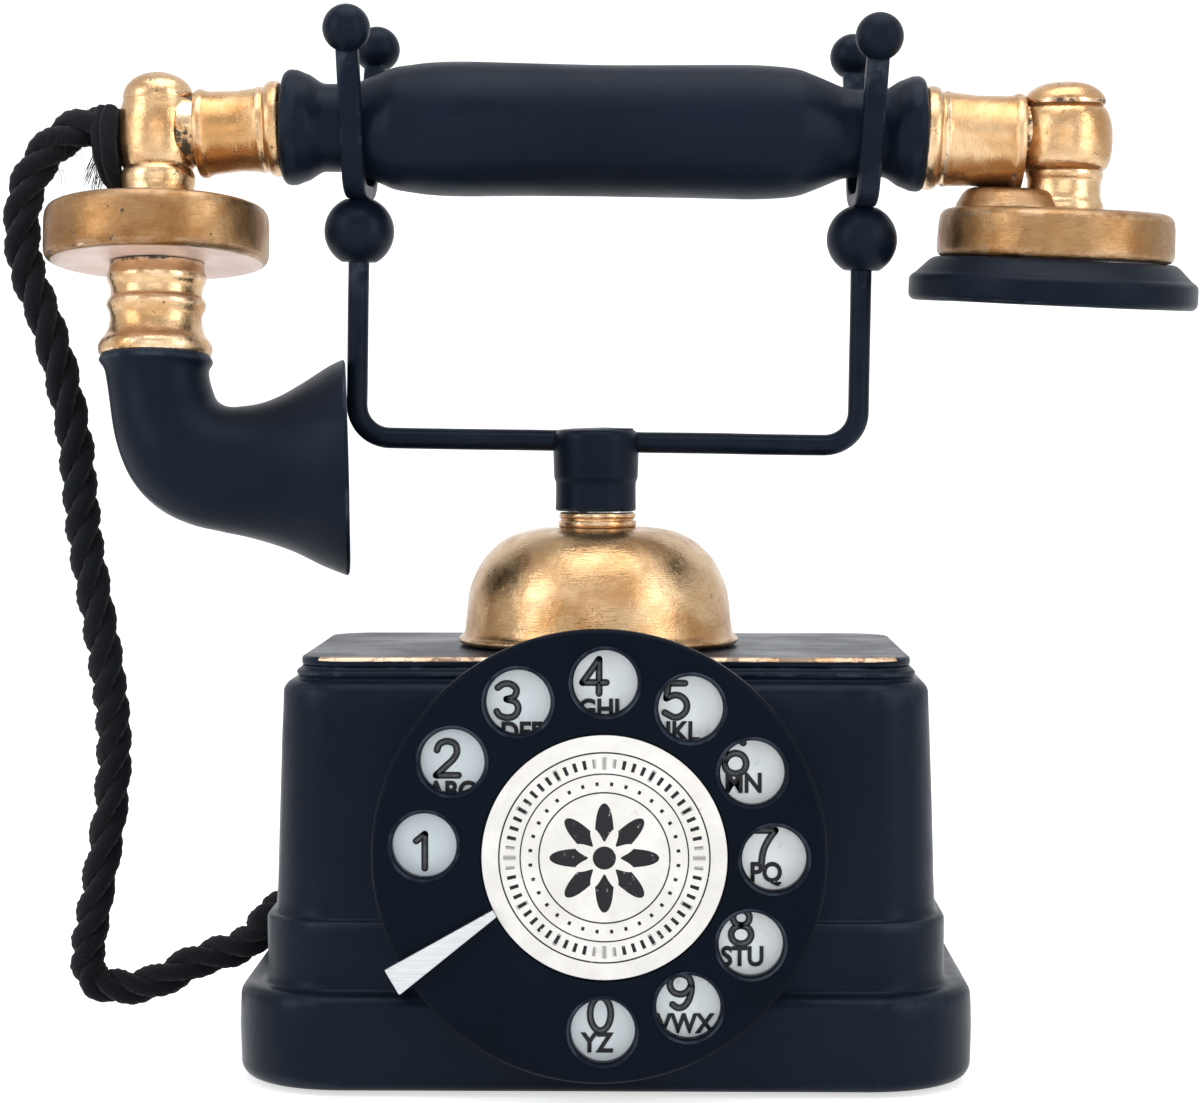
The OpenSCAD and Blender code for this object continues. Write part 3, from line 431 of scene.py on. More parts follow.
def seen_directly(tree):
    """1 for rays from the camera and for those by way of a mirror or glass."""
    path = tree.nodes.new("ShaderNodeLightPath").outputs
    last = path["Is Camera Ray"]
    for name in ("Is Glossy Ray", "Is Transmission Ray"):
        last = put(tree, "ShaderNodeMath", last, path[name], props={"operation": "MAXIMUM"})
    return last


def shade(colour, *factors):
    """A colour times one factor, or times a factor for each channel."""
    return tuple(min(1.0, c * f) for c, f in zip(colour, factors * 3 if len(factors) == 1 else factors))


def make_lacquer(name, tint, rough, edge, shift=0.0, sheen=0.09):
    """Satin black lacquer: uneven sheen, pin holes, ridges lightened as rubbed wear and as painted highlight, and fine
    scuffs.
    """
    n = Nodes(name)
    c = shade(colours().lacquer, tint)
    p = n.place(move=(shift, shift * 0.6, 0))
    broad = n.noise(p, 28, 4, 0.6)
    fine = n.noise(p, 900, 2, 0.5)
    base = n.mix(n.ramp(broad, 0.35, 0.68), shade(c, 0.84), shade(c, 1.14))
    pits = n.mul(n.ramp(n.cells(p, 260), 0.0, 0.1, 1.0, 0.0), n.ramp(n.noise(p, 60, 2), 0.56, 0.66))
    scuff_p = n.place(scale=(1, 1, 6), turn=(0.4, 0.2, 0.3))
    scuff = n.mul(n.ramp(n.noise(scuff_p, 210, 5, 0.7), 0.66, 0.76), n.ramp(broad, 0.5, 0.62))
    # Convex ridges are lightened: partly rubbed wear, partly a painted highlight along the edges.
    ridge = n.ramp(n.geometry("Pointiness"), 0.509, 0.55)
    ridge = n.mul(ridge, n.ramp(n.noise(p, 130, 4, 0.6), 0.42, 0.6))
    col = n.mix(n.mul(ridge, edge), base, (0.06, 0.075, 0.098))
    col = n.mix(n.mul(scuff, 0.3 * edge), col, (0.07, 0.085, 0.108))
    col = n.mix(pits, col, (0.003, 0.0035, 0.005))
    r = n.ramp(n.noise(p, 46, 5, 0.65), 0.3, 0.7, rough - 0.06, rough + 0.09)
    height = n.plus(n.mul(fine, 0.35), n.mul(n.noise(p, 120, 3), 0.9))
    n.bump(n.less(height, pits), 0.16, 0.0004)
    return n.done(col, r, 0.0, Specular_IOR_Level=sheen, Specular_Tint=(0.68, 0.8, 1.0, 1.0))


def make_gilt(name, streak, tone, rough, wear, shift=0.0, tint=(1, 1, 1), underside_reflection=0.0):
    """Gilt paint: brushed streaks, grains, warm and dark patches that are partly painted reflection, dark wear, darker
    creases, edges lightened as wear and as painted highlight, and a pale underside that is a painted reflection.
    """
    n = Nodes(name)
    c = shade(shade(colours().gilt, *tint), tone)
    p = n.place(move=(shift, shift * 0.4, shift * 0.2))
    sp = n.place(scale=streak, move=(0, shift, 0))
    broad = n.noise(p, 55, 4, 0.6, 0.4)
    lines = n.noise(sp, 420, 3, 0.6)
    grain = n.noise(p, 2600, 2, 0.6)
    # Broad patches vary the paint's tone at random, and their strong contrast is painted reflection of light and dark
    # surroundings.
    tone_and_reflection_patches = n.mix(n.ramp(broad, 0.34, 0.68), shade(c, 0.78, 0.62, 0.46), shade(c, 1.2, 1.27, 1.42))
    col = n.mix(n.ramp(lines, 0.4, 0.72, 0.0, 0.42), tone_and_reflection_patches, shade(c, 0.72, 0.62, 0.5))
    col = n.mix(n.ramp(grain, 0.58, 0.74, 0.0, 0.3), col, shade(c, 1.45, 1.5, 1.6))
    point = n.geometry("Pointiness")
    chips = n.ramp(n.noise(p, 420, 5, 0.75), 0.62, 0.68)
    edge = n.mul(n.ramp(point, 0.508, 0.545), n.ramp(n.noise(p, 190, 5, 0.7), 0.5, 0.57))
    # Darker where the surface is concave, in the creases.
    crease = n.ramp(point, 0.488, 0.44)
    spots = n.mul(chips, n.ramp(n.noise(p, 70, 2), 0.5, 0.58))
    dark = n.mul(n.most(edge, spots, n.mul(crease, 0.45)), wear, clamp=True)
    # Convex edges are lightened: partly worn paint, partly a painted highlight.
    worn_and_lit_edges = n.mul(n.ramp(point, 0.503, 0.53), n.ramp(n.noise(p, 130, 4, 0.7), 0.42, 0.56, 0.0, 0.55))
    col = n.mix(n.mul(worn_and_lit_edges, min(1.0, wear)), col, (0.86, 0.68, 0.5))
    col = n.mix(dark, col, (0.055, 0.036, 0.022))
    # Faces that look down are painted pale pink as a painted reflection of the table below.
    if underside_reflection:
        reflection_below = n.ramp(n.parts(n.geometry("Normal"))[2], -0.9, -0.97, 0.0, underside_reflection)
        col = n.mix(reflection_below, col, (0.83, 0.66, 0.6))
        dark = n.most(dark, n.mul(reflection_below, 0.45))
    r = n.ramp(n.noise(p, 150, 4, 0.6), 0.3, 0.72, rough - 0.06, rough + 0.16)
    r = n.plus(r, n.mul(dark, 0.3), clamp=True)
    metal = n.ramp(dark, 0.0, 0.8, 0.93, 0.1)
    height = n.plus(n.plus(n.mul(lines, 0.55), n.noise(p, 240, 4, 0.6)), n.mul(grain, 0.25))
    n.bump(n.less(height, n.mul(dark, 0.4)), 0.3, 0.0005)
    return n.done(col, r, metal)


def make_plain(name, colour, rough, metal, spread, scale=120, bump=0.1, streak=(1, 1, 1)):
    """A plain finish with gentle mottling, for pieces seen little."""
    n = Nodes(name)
    p = n.place(scale=streak)
    f = n.noise(p, scale, 4, 0.6)
    col = n.mix(n.ramp(f, 0.3, 0.7), shade(colour, 1 - spread), shade(colour, 1 + spread))
    r = n.ramp(n.noise(p, scale * 2.2, 3), 0.3, 0.7, max(0.05, rough - 0.08), min(1.0, rough + 0.08))
    n.bump(n.noise(p, scale * 5, 3), bump, 0.0003)
    return n.done(col, r, metal, Specular_IOR_Level=0.5 if metal else 0.2)


def make_brushed(name, colour, turn):
    """Brushed bright steel, drawn along one direction."""
    n = Nodes(name)
    p = n.place(scale=(1, 1, 34), turn=(0, turn, 0))
    f = n.noise(p, 160, 4, 0.65)
    col = n.mix(n.ramp(f, 0.3, 0.7), shade(colour, 0.86), shade(colour, 1.12))
    r = n.ramp(f, 0.3, 0.7, 0.26, 0.42)
    n.bump(f, 0.14, 0.0003)
    return n.done(col, r, 0.96)


def make_enamel(name):
    """Pale number plate: cool enamel with painted light, brighter to the lower right, lightly crazed."""
    n = Nodes(name)
    c = colours().enamel
    p = n.place()
    x, _, z = n.parts(p)
    # Painted light: the plate is made lighter towards one side, as if lit from there.
    painted_light_slope = n.plus(n.mul(x, 9.0), n.mul(z, 4.0))
    cloud = n.noise(p, 70, 4, 0.6)
    f = n.plus(n.ramp(painted_light_slope, -0.35, 0.7, 0.0, 0.6), n.mul(cloud, 0.5), clamp=True)
    col = n.mix(f, shade(c, 0.86), shade(c, 1.22, 1.17, 1.12))
    grime = n.ramp(n.noise(p, 340, 5, 0.7), 0.6, 0.72, 0.0, 0.35)
    col = n.mix(grime, col, shade(c, 0.55))
    n.bump(n.noise(p, 180, 3), 0.1, 0.0003)
    return n.done(col, n.ramp(cloud, 0.3, 0.7, 0.3, 0.45), 0.0)


def make_card(name, centre):
    """Printed centre label: two rings, a band of ticks and a plain rosette."""
    n = Nodes(name)
    c = colours().card
    p = n.place(move=(-centre[0], -centre[1], -centre[2]))
    x, _, z = n.parts(p)
    x, z = n.mul(x, 1 / MM), n.mul(z, 1 / MM)
    r = n.math("SQRT", n.plus(n.mul(x, x), n.mul(z, z)))
    a = n.math("ARCTAN2", z, x)

    def step(value, lo, hi, inside=False):
        return n.ramp(value, lo, hi, float(inside), float(not inside), smooth=False)

    def band(mid, half):
        return step(n.math("ABSOLUTE", n.less(r, mid)), half, half + 0.06, True)

    def teeth(count, share, turn=0.0):
        return step(n.math("COSINE", n.plus(n.mul(a, float(count)), turn)), share, share + 0.12)

    def petals(middle, swing):
        return n.plus(middle, n.mul(n.math("COSINE", n.mul(a, 8.0)), swing))

    gap = n.less(1.0, teeth(4, 0.86), clamp=True)
    ticks = n.mul(n.mul(band(18.25, 0.85), teeth(60, 0.35)), gap)
    quarter = n.mul(band(18.25, 1.2), teeth(12, 0.93))
    rose = n.mul(step(n.less(petals(8.0, 2.6), r), 0.0, 0.08), step(n.less(r, petals(4.6, -1.5)), 0.0, 0.08))
    dots = n.mul(band(14.3, 0.34), teeth(32, 0.7, math.pi))
    hub = step(r, 2.2, 2.28, True)
    ink = n.most(band(20.3, 0.13), band(16.2, 0.11), band(12.6, 0.12), ticks, quarter, rose, hub, dots)
    ink = n.mul(ink, n.ramp(n.noise(p, 700, 4, 0.7), 0.62, 0.72, 1.0, 0.35))
    paper = n.noise(p, 130, 5, 0.65)
    cream = n.mix(n.ramp(paper, 0.35, 0.7), shade(c, 0.93), shade(c, 1.06, 1.06, 1.07))
    foxing = n.mul(n.ramp(n.noise(p, 520, 6, 0.8), 0.58, 0.7), n.ramp(n.noise(p, 60, 2), 0.55, 0.66))
    cream = n.mix(n.mul(foxing, 0.55), cream, (0.45, 0.40, 0.35))
    col = n.mix(ink, cream, (0.016, 0.015, 0.018))
    n.bump(n.noise(p, 1200, 3), 0.05, 0.0002)
    return n.done(col, n.ramp(paper, 0.3, 0.7, 0.42, 0.6), 0.0, Specular_IOR_Level=0.15)


def make_rope(name):
    """Twisted cotton: yarns along each strand, from its own UV map."""
    n = Nodes(name)
    c = colours().rope
    u, v, _ = n.parts(n.coord["UV"])
    lay = n.plus(n.mul(u, 9.0), n.mul(v, 260.0))
    yarn = n.math("ABSOLUTE", n.math("SINE", n.mul(lay, math.pi)))
    p = n.place()
    fuzz = n.noise(p, 3200, 3, 0.7)
    patch = n.noise(p, 90, 3)
    # The yarns' crests are painted lighter and the grooves between them darker, as painted highlight and shade; the
    # fuzz adds a random tone.
    f = n.plus(n.mul(yarn, 0.55), n.mul(fuzz, 0.5))
    col = n.mix(n.ramp(f, 0.2, 1.0), shade(c, 0.45), shade(c, 1.9))
    col = n.mix(n.ramp(patch, 0.5, 0.7, 0.0, 0.5), col, shade(c, 2.4))
    lint = n.mul(n.ramp(n.cells(p, 420), 0.0, 0.07, 1.0, 0.0), n.ramp(n.noise(p, 120, 2), 0.6, 0.66))
    col = n.mix(n.mul(lint, 0.6), col, (0.32, 0.33, 0.35))
    n.bump(n.plus(yarn, n.mul(fuzz, 0.5)), 0.55, 0.00022)
    return n.done(col, 0.86, 0.0, Sheen_Weight=0.09, Sheen_Roughness=0.5, Specular_IOR_Level=0.12)


# ------------------------------------------------------------------- stage
LENS, LOOK_DOWN = 92.85, 2.43  # millimetres, degrees


class TELEPHONE_OT_stage(bpy.types.Operator):
    """Camera, lamps, world, floor and the finishes"""

    bl_idname = "telephone.stage"
    bl_label = "Stage and finishes"

    def execute(self, context):
        s = sizes()
        scene = context.scene
        scene.view_settings.view_transform = "Standard"
        cam = bpy.data.cameras.new("camera")
        cam.sensor_width = 36.0
        cam.lens = LENS
        cam.clip_start = 0.02
        ob = bpy.data.objects.new("camera", cam)
        scene.collection.objects.link(ob)
        a, far = s.camera_turn, s.camera_distance
        ob.location = (far * math.sin(a) - CASING_X * MM, -far * math.cos(a), s.camera_height)
        ob.rotation_euler = (math.radians(90 - LOOK_DOWN), 0, a)
        scene.camera = ob
        self.world(scene)
        self.lamps(scene)
        self.floor(scene)
        self.finishes()
        return {"FINISHED"}

    def world(self, scene):
        """Soft pale light all round, in front of plain white."""
        world = bpy.data.worlds.new("studio")
        scene.world = world
        world.use_nodes = True
        t = world.node_tree
        t.nodes.clear()
        lit = put(t, "ShaderNodeBackground", (0.93, 0.96, 1.0, 1), 0.44)
        seen = put(t, "ShaderNodeBackground", (1, 1, 1, 1), 1.0)
        put(t, "ShaderNodeOutputWorld", put(t, "ShaderNodeMixShader", seen_directly(t), lit, seen))

    def lamps(self, scene):
        def area(name, place, aim, size, power, tint=(1, 1, 1)):
            l = bpy.data.lights.new(name, "AREA")
            l.shape = "RECTANGLE"
            l.size, l.size_y = size
            l.energy = power
            l.color = tint
            o = bpy.data.objects.new(name, l)
            scene.collection.objects.link(o)
            o.location = place
            o.rotation_euler = (Vector(aim) - Vector(place)).to_track_quat("-Z", "Y").to_euler()

        area("top softbox", (0.05, -0.15, 0.95), (0, 0, 0.12), (0.9, 0.7), 5.9)
        area("left softbox", (-0.85, -0.55, 0.5), (0, 0, 0.12), (0.5, 0.8), 4.1, (0.97, 0.985, 1.0))
        area("right softbox", (0.8, -0.6, 0.42), (0, 0, 0.12), (0.45, 0.8), 3.7, (1.0, 0.99, 0.97))
        area("front fill", (0.0, -1.3, 0.35), (0, 0, 0.1), (0.9, 0.5), 1.7)

    def floor(self, scene):
        """A white sweep that runs up behind the telephone."""
        deep, reach, bend, top = 0.9, 2.2, 0.5, 2.0
        rows = [(-1.6, 0), (deep, 0)]
        rows += [(deep + x, bend + y) for x, y in bowl(0, 0, bend, bend, -90, 0, 8)[1:]] + [(deep + bend, top)]
        bm = bmesh.new()
        rings = [[bm.verts.new((side * reach, y, z)) for side in (-1, 1)] for y, z in rows]
        for a, b in zip(rings, rings[1:]):
            bm.faces.new((a[0], a[1], b[1], b[0]))
        mat = bpy.data.materials.new("pale floor")
        mat.use_nodes = True
        t = mat.node_tree
        t.nodes.clear()
        diffuse = put(t, "ShaderNodeBsdfDiffuse", (0.86, 0.865, 0.87, 1))
        glow = put(t, "ShaderNodeEmission", (1, 1, 1, 1), 0.62)
        off = put(t, "ShaderNodeEmission", (1, 1, 1, 1), 0.0)
        seen = put(t, "ShaderNodeMixShader", seen_directly(t), off, glow)
        put(t, "ShaderNodeOutputMaterial", put(t, "ShaderNodeAddShader", diffuse, seen))
        piece_of("floor", bm, mat, 180)

    def finishes(self):
        f = FINISHES
        f["casing"] = make_lacquer("casing lacquer", 1.0, 0.34, 0.7)
        f["wheel"] = make_lacquer("wheel lacquer", 0.62, 0.36, 0.0, 0.3, 0.045)
        f["wire"] = make_lacquer("cradle lacquer", 0.95, 0.34, 0.6, 0.5)
        f["grip"] = make_lacquer("grip lacquer", 1.05, 0.38, 0.5, 0.8)
        f["horn"] = make_lacquer("horn lacquer", 1.0, 0.38, 0.6, 1.1)
        f["gong"] = make_gilt("gong gilt", (1, 1, 9), 0.86, 0.23, 0.5)
        # The disc gilt is a browner copy of the gilt in its own paint, darkened as painted shade; its last value paints
        # a pale reflection on faces that look down.
        f["disc"] = make_gilt("disc gilt", (1, 1, 7), 0.52, 0.34, 1.5, 0.4, (0.92, 0.8, 0.66), 0.9)
        f["ferrule"] = make_gilt("ferrule gilt", (7, 1, 1), 1.0, 0.22, 1.0, 0.9)
        f["elbow"] = make_gilt("elbow gilt", (1, 1, 2), 0.98, 0.2, 1.0, 1.7)
        f["trim"] = make_gilt("trim gilt", (1, 1, 1), 1.15, 0.45, 0.6, 2.3, (1, 1.08, 1.45))
        f["stop"] = make_brushed("finger stop steel", (0.5, 0.51, 0.525), math.radians(30.5))
        f["steel"] = make_plain("plain steel", (0.5, 0.51, 0.52), 0.34, 1.0, 0.12, 160)
        f["enamel"] = make_enamel("number plate enamel")
        f["card"] = make_card("printed card", (LABEL_X * MM, 0, DIAL_Z * MM))
        f["ink"] = make_plain("figure ink", (0.010, 0.011, 0.014), 0.42, 0.0, 0.3, 600, 0.1)
        f["worn_ink"] = make_plain("worn figure ink", (0.075, 0.082, 0.092), 0.45, 0.0, 0.4, 900, 0.1)
        f["rope"] = make_rope("black cotton rope")
        f["fibre"] = make_plain("loose cotton", (0.03, 0.032, 0.036), 0.9, 0.0, 0.3, 300, 0.0)
        f["rubber"] = make_plain("black rubber", (0.004, 0.0045, 0.006), 0.62, 0.0, 0.25, 200, 0.15)
        f["felt"] = make_plain("felt", (0.02, 0.022, 0.025), 0.95, 0.0, 0.35, 900, 0.4)
        f["copper"] = make_plain("winding wire", (0.36, 0.13, 0.05), 0.3, 0.8, 0.2, 300, 0.3, (1, 1, 12))
        f["ivory"] = make_plain("cream moulding", (0.62, 0.55, 0.36), 0.4, 0.0, 0.1)
        f["phenolic"] = make_plain("brown moulding", (0.10, 0.045, 0.025), 0.35, 0.0, 0.2)
        f["gear_brass"] = make_plain("gear brass", (0.72, 0.53, 0.24), 0.3, 1.0, 0.12, 200)
        f["capsule"] = make_plain("capsule", (0.6, 0.6, 0.6), 0.35, 1.0, 0.1)


# ------------------------------------------------------------------- sizes
DIAL_Z = 48.7  # the dial's axis
FRONT = -58.0  # the front face of the finger wheel
CORE = (52.0, 28.0)  # the middles of the casing's corner rounds
CASING_X = 0.8  # the casing stands this far to the right
BODY_Z, TOP_Z = 83.6, 85.6  # under and over the top plate
UPRIGHT = 52.6  # the cradle's uprights, from the middle
CROWN_Z = 110.3  # the gong's crown
DISC_Z, DISC_T, DISC_R = 165.6, 12.0, 23.4  # the transmitter's disc
HORN_Z = 146.2  # where the horn leaves the neck
CAP_Z, CAP_T, CAP_R, CASE_R = 157.5, 10.2, 30.6, 24.6  # the receiver
CASE_Z = CAP_Z + CAP_T
CASE_TOP = CASE_Z + 10.4
LEFT_FACE, RIGHT_FACE = 84.5, 87.0  # where the ferrules meet the elbows
WHEEL_R, WHEEL_T, LABEL_R, LABEL_X, PLATE_GAP = 44.0, 3.4, 23.65, 1.05, 0.6
FORK_Y, TIP_Z, LEAN = 18.0, 211.7, math.radians(19.77)  # the forks' prongs
CORD_R = 3.8
CORD_EXIT = (-67.6, 18, 27.2)  # the bush in the casing's wall
# The cord's middle line, from the left elbow down to the casing
CORD_WAY = [
    (-102.6, 0, 193.7), (-107, 0, 194.5), (-112, 0.5, 193), (-117, 1, 189), (-121, 1.5, 182.5),
    (-122.6, 2, 174.5), (-121.8, 2.5, 165), (-118, 3, 154), (-115, 4, 143), (-112.5, 5, 130),
    (-111.5, 6, 118), (-110.5, 7, 106), (-108.5, 9, 92), (-107, 11, 80), (-106.0, 13.5, 65.9),
    (-106.9, 16, 52.0), (-109.4, 19, 38.0), (-111.8, 21, 26.0), (-113.5, 22, 15.8), (-112.1, 22.5, 10.1),
    (-107.2, 22.5, 8.7), (-101.5, 22.3, 9.0), (-96.1, 22, 11.0), (-90.7, 21.5, 14.0), (-85.2, 21, 16.1),
    (-80.5, 20.5, 17.7), (-76.8, 20, 19.9), (-74.3, 19, 23.2), (-72.6, 18.4, 25.9), (-69.2, 18, 27.2),
]


class TELEPHONE_OT_cord(bpy.types.Operator):
    """Handset cord: three twisted strands, with stray fibres and its two glands"""

    bl_idname = "telephone.cord"
    bl_label = "Handset cord"

    def execute(self, context):
        s = sizes()
        pitch, ridge = s.rope_pitch / MM, s.yarn_ridge / MM
        way = smooth_curve(CORD_WAY, 12)
        steps, sides = 430, 14
        line = resample(way, steps)
        frames = carried_frames(line)
        strand_r = CORD_R / 2.1547
        off = CORD_R - strand_r
        turn_at = []
        run = 0.0
        for p, q in zip(line[:1] + line, line):
            run += (q - p).length
            slow = 1.0 + 0.05 * noise.noise(Vector((run * 0.03, 2.0, 0.0)))
            turn_at.append((run, TAU * run / pitch * slow))
        bm = bmesh.new()
        for k in range(3):
            rings = []
            for p, (u, v, t), (run, ang) in zip(line, frames, turn_at):
                thick = 1.0 + 0.12 * math.exp(-((run / 26) ** 2))
                a = ang + TAU * k / 3
                swell = thick * (1.0 + 0.05 * noise.noise(Vector((run * 0.09, k * 7.0, 1.0))))
                out = u * math.cos(a) + v * math.sin(a)
                tangent = (t + (v * math.cos(a) - u * math.sin(a)) * (off * TAU / pitch)).normalized()
                e1 = out.normalized()
                e2 = tangent.cross(e1).normalized()
                r = strand_r * 1.07 * swell
                middle = p + out * off * thick
                rings.append(ring_about(middle, e1, e2, sides, lambda b: r + ridge * math.sin(b * 5 - run * 2.1 + k)))
            skin(bm, rings, uv=lambda i, q: (q / sides, turn_at[min(i, steps)][0] * 0.01))
        outwards(bm)
        cord = finish_mesh("handset_rope", bm, "rope", None, "handset_cord", sharp=80)
        self.whipping()
        fibres = self.fibres(line, frames)
        for piece in (cord, fibres):
            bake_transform(piece)
        r = CORD_R + 0.5
        rows = soften([(0, 0), (r, 0), (r, 1.6), (0, 1.6)], 0.4)
        bm = turned(rows, at(CORD_WAY[0][0], 0, AXIS_Z, ALONG_X), 48)
        finish_mesh("handset_bush", bm, "rubber", "handset", "handset_gland")
        r = CORD_R + 1.6
        rows = [(0, 5), (r - 0.02, 5), (r - 0.02, 0), (r + 0.8, 0), (r + 0.8, -1.1), (CORD_R + 0.3, -1.6), (0, -1.6)]
        bm = turned(soften(rows, 0.35), at(*CORD_EXIT, ALONG_X), 48)
        finish_mesh("casing_bush", bm, "rubber", "base", "cord_gland")
        return {"FINISHED"}

    def whipping(self):
        """The frayed end of the cord, bunched against the elbow, with a tuft of hairs."""
        bm = bmesh.new()
        for k, (dx, dy, r) in enumerate(((0.2, 0, 2.4), (-1.0, 1.8, 2.0), (0.5, -2.2, 1.9), (-1.3, -1.2, 1.9))):
            knots = [
                (-103.2 + dx, dy - 1, 198.3), (-103.7 + dx, dy * 1.1 - 2, 193.6), (-103.5 + dx, dy * 1.2 - 2.4, 188.8),
                (-102.8 + dx * 0.8, dy - 2, 184.4), (-102.0 + dx * 0.6, dy * 0.7 - 1.6, 180.4 + k * 0.5),
            ]
            path = smooth_curve(knots, 8)
            rings = []
            for i, (p, (u, v, _)) in enumerate(zip(path, carried_frames([Vector(q) for q in path]))):
                share = i / (len(path) - 1)
                size = r * min(1.0, 0.55 + 3 * share) * (1 - 0.45 * share**3)

                def lumpy(b):
                    lump = 0.2 * noise.noise(Vector((b * 1.3 + k * 5, share * 5, 2.0)))
                    return size + (lump + 0.06 * math.sin(7 * b + share * 9))

                rings.append(ring_about(p, u, v, 28, lumpy))
            skin(bm, rings, uv=lambda i, q: (q / 28, i * 0.006))
        for i in range(46):
            h = noise.cell_vector(Vector((i * 1.9, 8.3, 2.1)))
            g = noise.cell_vector(Vector((6.1, i * 2.9, 1.7)))
            start = Vector((-106.6 + 3.0 * h.x, -3.6 + 4.0 * h.y, 190 - 4.5 * h.z))
            way = Vector((-0.75 + 1.0 * g.x, 0.8 * g.y - 0.5, -0.5 - 0.5 * g.z)).normalized()
            reach = 3.0 + 4.5 * g.x * h.y
            path = [start + way * (reach * t) + Vector((0, 0, -1.8 * t * t)) for t in [j / 5 for j in range(6)]]
            merge_in(bm, tube(path, 0.055, 3))
        finish_mesh("cord_whipping", outwards(bm), "rope", "handset", sharp=80)

    def fibres(self, line, frames):
        """Loose fibres that stand off the rope, most of them where it leaves the handset."""
        bm = bmesh.new()
        count = sizes().fibre_count
        for i in range(count):
            h = noise.cell_vector(Vector((i * 1.7, 3.3, 9.1)))
            g = noise.cell_vector(Vector((5.1, i * 2.3, 4.7)))
            if i < count * 0.45:
                k, reach, down = int(6 + 26 * h.x), 4.0 + 5.5 * g.x, 0.8
            else:
                k, reach, down = int(10 + (len(line) - 30) * h.x), 1.2 + 2.0 * g.x, 0.15
            u, v, t = frames[k]
            a = TAU * h.y
            out = (u * math.cos(a) + v * math.sin(a)).normalized()
            start = line[k] + out * (CORD_R * 0.82)
            bend = Vector((g.y - 0.5, g.z - 0.5, -down)).normalized()
            points = []
            for q in [j / 5 for j in range(6)]:
                p = start + out * (reach * q * (1 - 0.55 * q)) + bend * (reach * q * q * 0.75)
                points.append(p + t * ((h.z - 0.5) * reach * q))
            rings = []
            for j, p in enumerate(points):
                r = 0.05 * (1 - 0.6 * j / 5)
                d = (points[min(5, j + 1)] - points[max(0, j - 1)]).normalized()
                e1 = d.orthogonal().normalized()
                rings.append(ring_about(p, e1, d.cross(e1), 3, lambda b: r))
            skin(bm, rings)
        return finish_mesh("rope_fibres", outwards(bm), "fibre", None, sharp=180)


def resample(points, steps):
    """Evenly spaced points along a line."""
    points = [Vector(p) for p in points]
    runs = [0.0]
    for a, b in zip(points, points[1:]):
        runs.append(runs[-1] + (b - a).length)
    out = []
    j = 0
    for i in range(steps + 1):
        want = runs[-1] * i / steps
        while j < len(runs) - 2 and runs[j + 1] < want:
            j += 1
        t = (want - runs[j]) / max(1e-9, runs[j + 1] - runs[j])
        out.append(points[j].lerp(points[j + 1], min(1, max(0, t))))
    return out


def carried_frames(line):
    """Frames along a line that don't twist: (side, side, along)."""
    out = []
    side = Vector((0, 1, 0))
    for i in range(len(line)):
        t = (line[min(len(line) - 1, i + 1)] - line[max(0, i - 1)]).normalized()
        side = (side - t * side.dot(t)).normalized()
        out.append((side.copy(), t.cross(side).normalized(), t))
    return out


# ----------------------------------------------------------------- repeats
def rim_tree():
    """A node tree that sets round beads in a ring; its inputs are in metres and radians."""
    tree = bpy.data.node_groups.new("ring of beads", "GeometryNodeTree")
    face = tree.interface
    floats = [(name, "Float") for name in ("Pitch radius", "First angle", "Step", "Rim radius", "Bead radius")]
    for name, kind in [("Count", "Int"), *floats, ("Centre", "Vector"), ("Turn", "Vector"), ("Finish", "Material")]:
        face.new_socket(name=name, in_out="INPUT", socket_type="NodeSocket" + kind)
    face.new_socket(name="Geometry", in_out="OUTPUT", socket_type="NodeSocketGeometry")
    given = tree.nodes.new("NodeGroupInput").outputs

    def maths(op, a, b=None):
        return put(tree, "ShaderNodeMath", a, b, props={"operation": op})

    def circle(count, radius):
        return put(tree, "GeometryNodeCurvePrimitiveCircle", Resolution=count, Radius=given[radius])

    index = put(tree, "GeometryNodeInputIndex")
    angle = maths("SUBTRACT", given["First angle"], maths("MULTIPLY", index, given["Step"]))
    x, y = [maths("MULTIPLY", given["Pitch radius"], maths(op, angle)) for op in ("COSINE", "SINE")]
    points = put(tree, "GeometryNodePoints", Count=given["Count"], Position=put(tree, "ShaderNodeCombineXYZ", x, y))
    rim, bead = circle(64, "Rim radius"), circle(14, "Bead radius")
    sweep = put(tree, "GeometryNodeCurveToMesh", Curve=rim, Profile_Curve=bead)
    copies = put(tree, "GeometryNodeInstanceOnPoints", Points=points, Instance=sweep)
    moved = put(tree, "GeometryNodeTransform", Geometry=copies, Translation=given["Centre"], Rotation=given["Turn"])
    plain = put(tree, "GeometryNodeRealizeInstances", moved)
    put(tree, "NodeGroupOutput", put(tree, "GeometryNodeSetMaterial", Geometry=plain, Material=given["Finish"]))
    return tree


def rims(name, centre, turn, count, pitch, first, step, rim, bead, finish, body, slot):
    """Beads round a ring of holes, made by the node tree and kept as a plain mesh."""
    tree = bpy.data.node_groups.get("ring of beads") or rim_tree()
    ob = bpy.data.objects.new(name, bpy.data.meshes.new(name))
    bpy.context.scene.collection.objects.link(ob)
    mod = ob.modifiers.new("rims", "NODES")
    mod.node_group = tree
    values = {
        "Count": count, "Pitch radius": pitch * MM, "First angle": math.radians(first), "Step": math.radians(step),
        "Rim radius": rim * MM, "Bead radius": bead * MM, "Centre": [c * MM for c in centre], "Turn": turn,
        "Finish": FINISHES[finish],
    }
    for item in tree.interface.items_tree:
        if item.in_out == "INPUT":
            mod[item.identifier] = values[item.name]
    bpy.context.view_layer.update()
    mesh = bpy.data.meshes.new_from_object(ob.evaluated_get(bpy.context.evaluated_depsgraph_get()))
    ob.modifiers.clear()
    ob.data = mesh
    for p in mesh.polygons:
        p.use_smooth = True
    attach(ob, body)


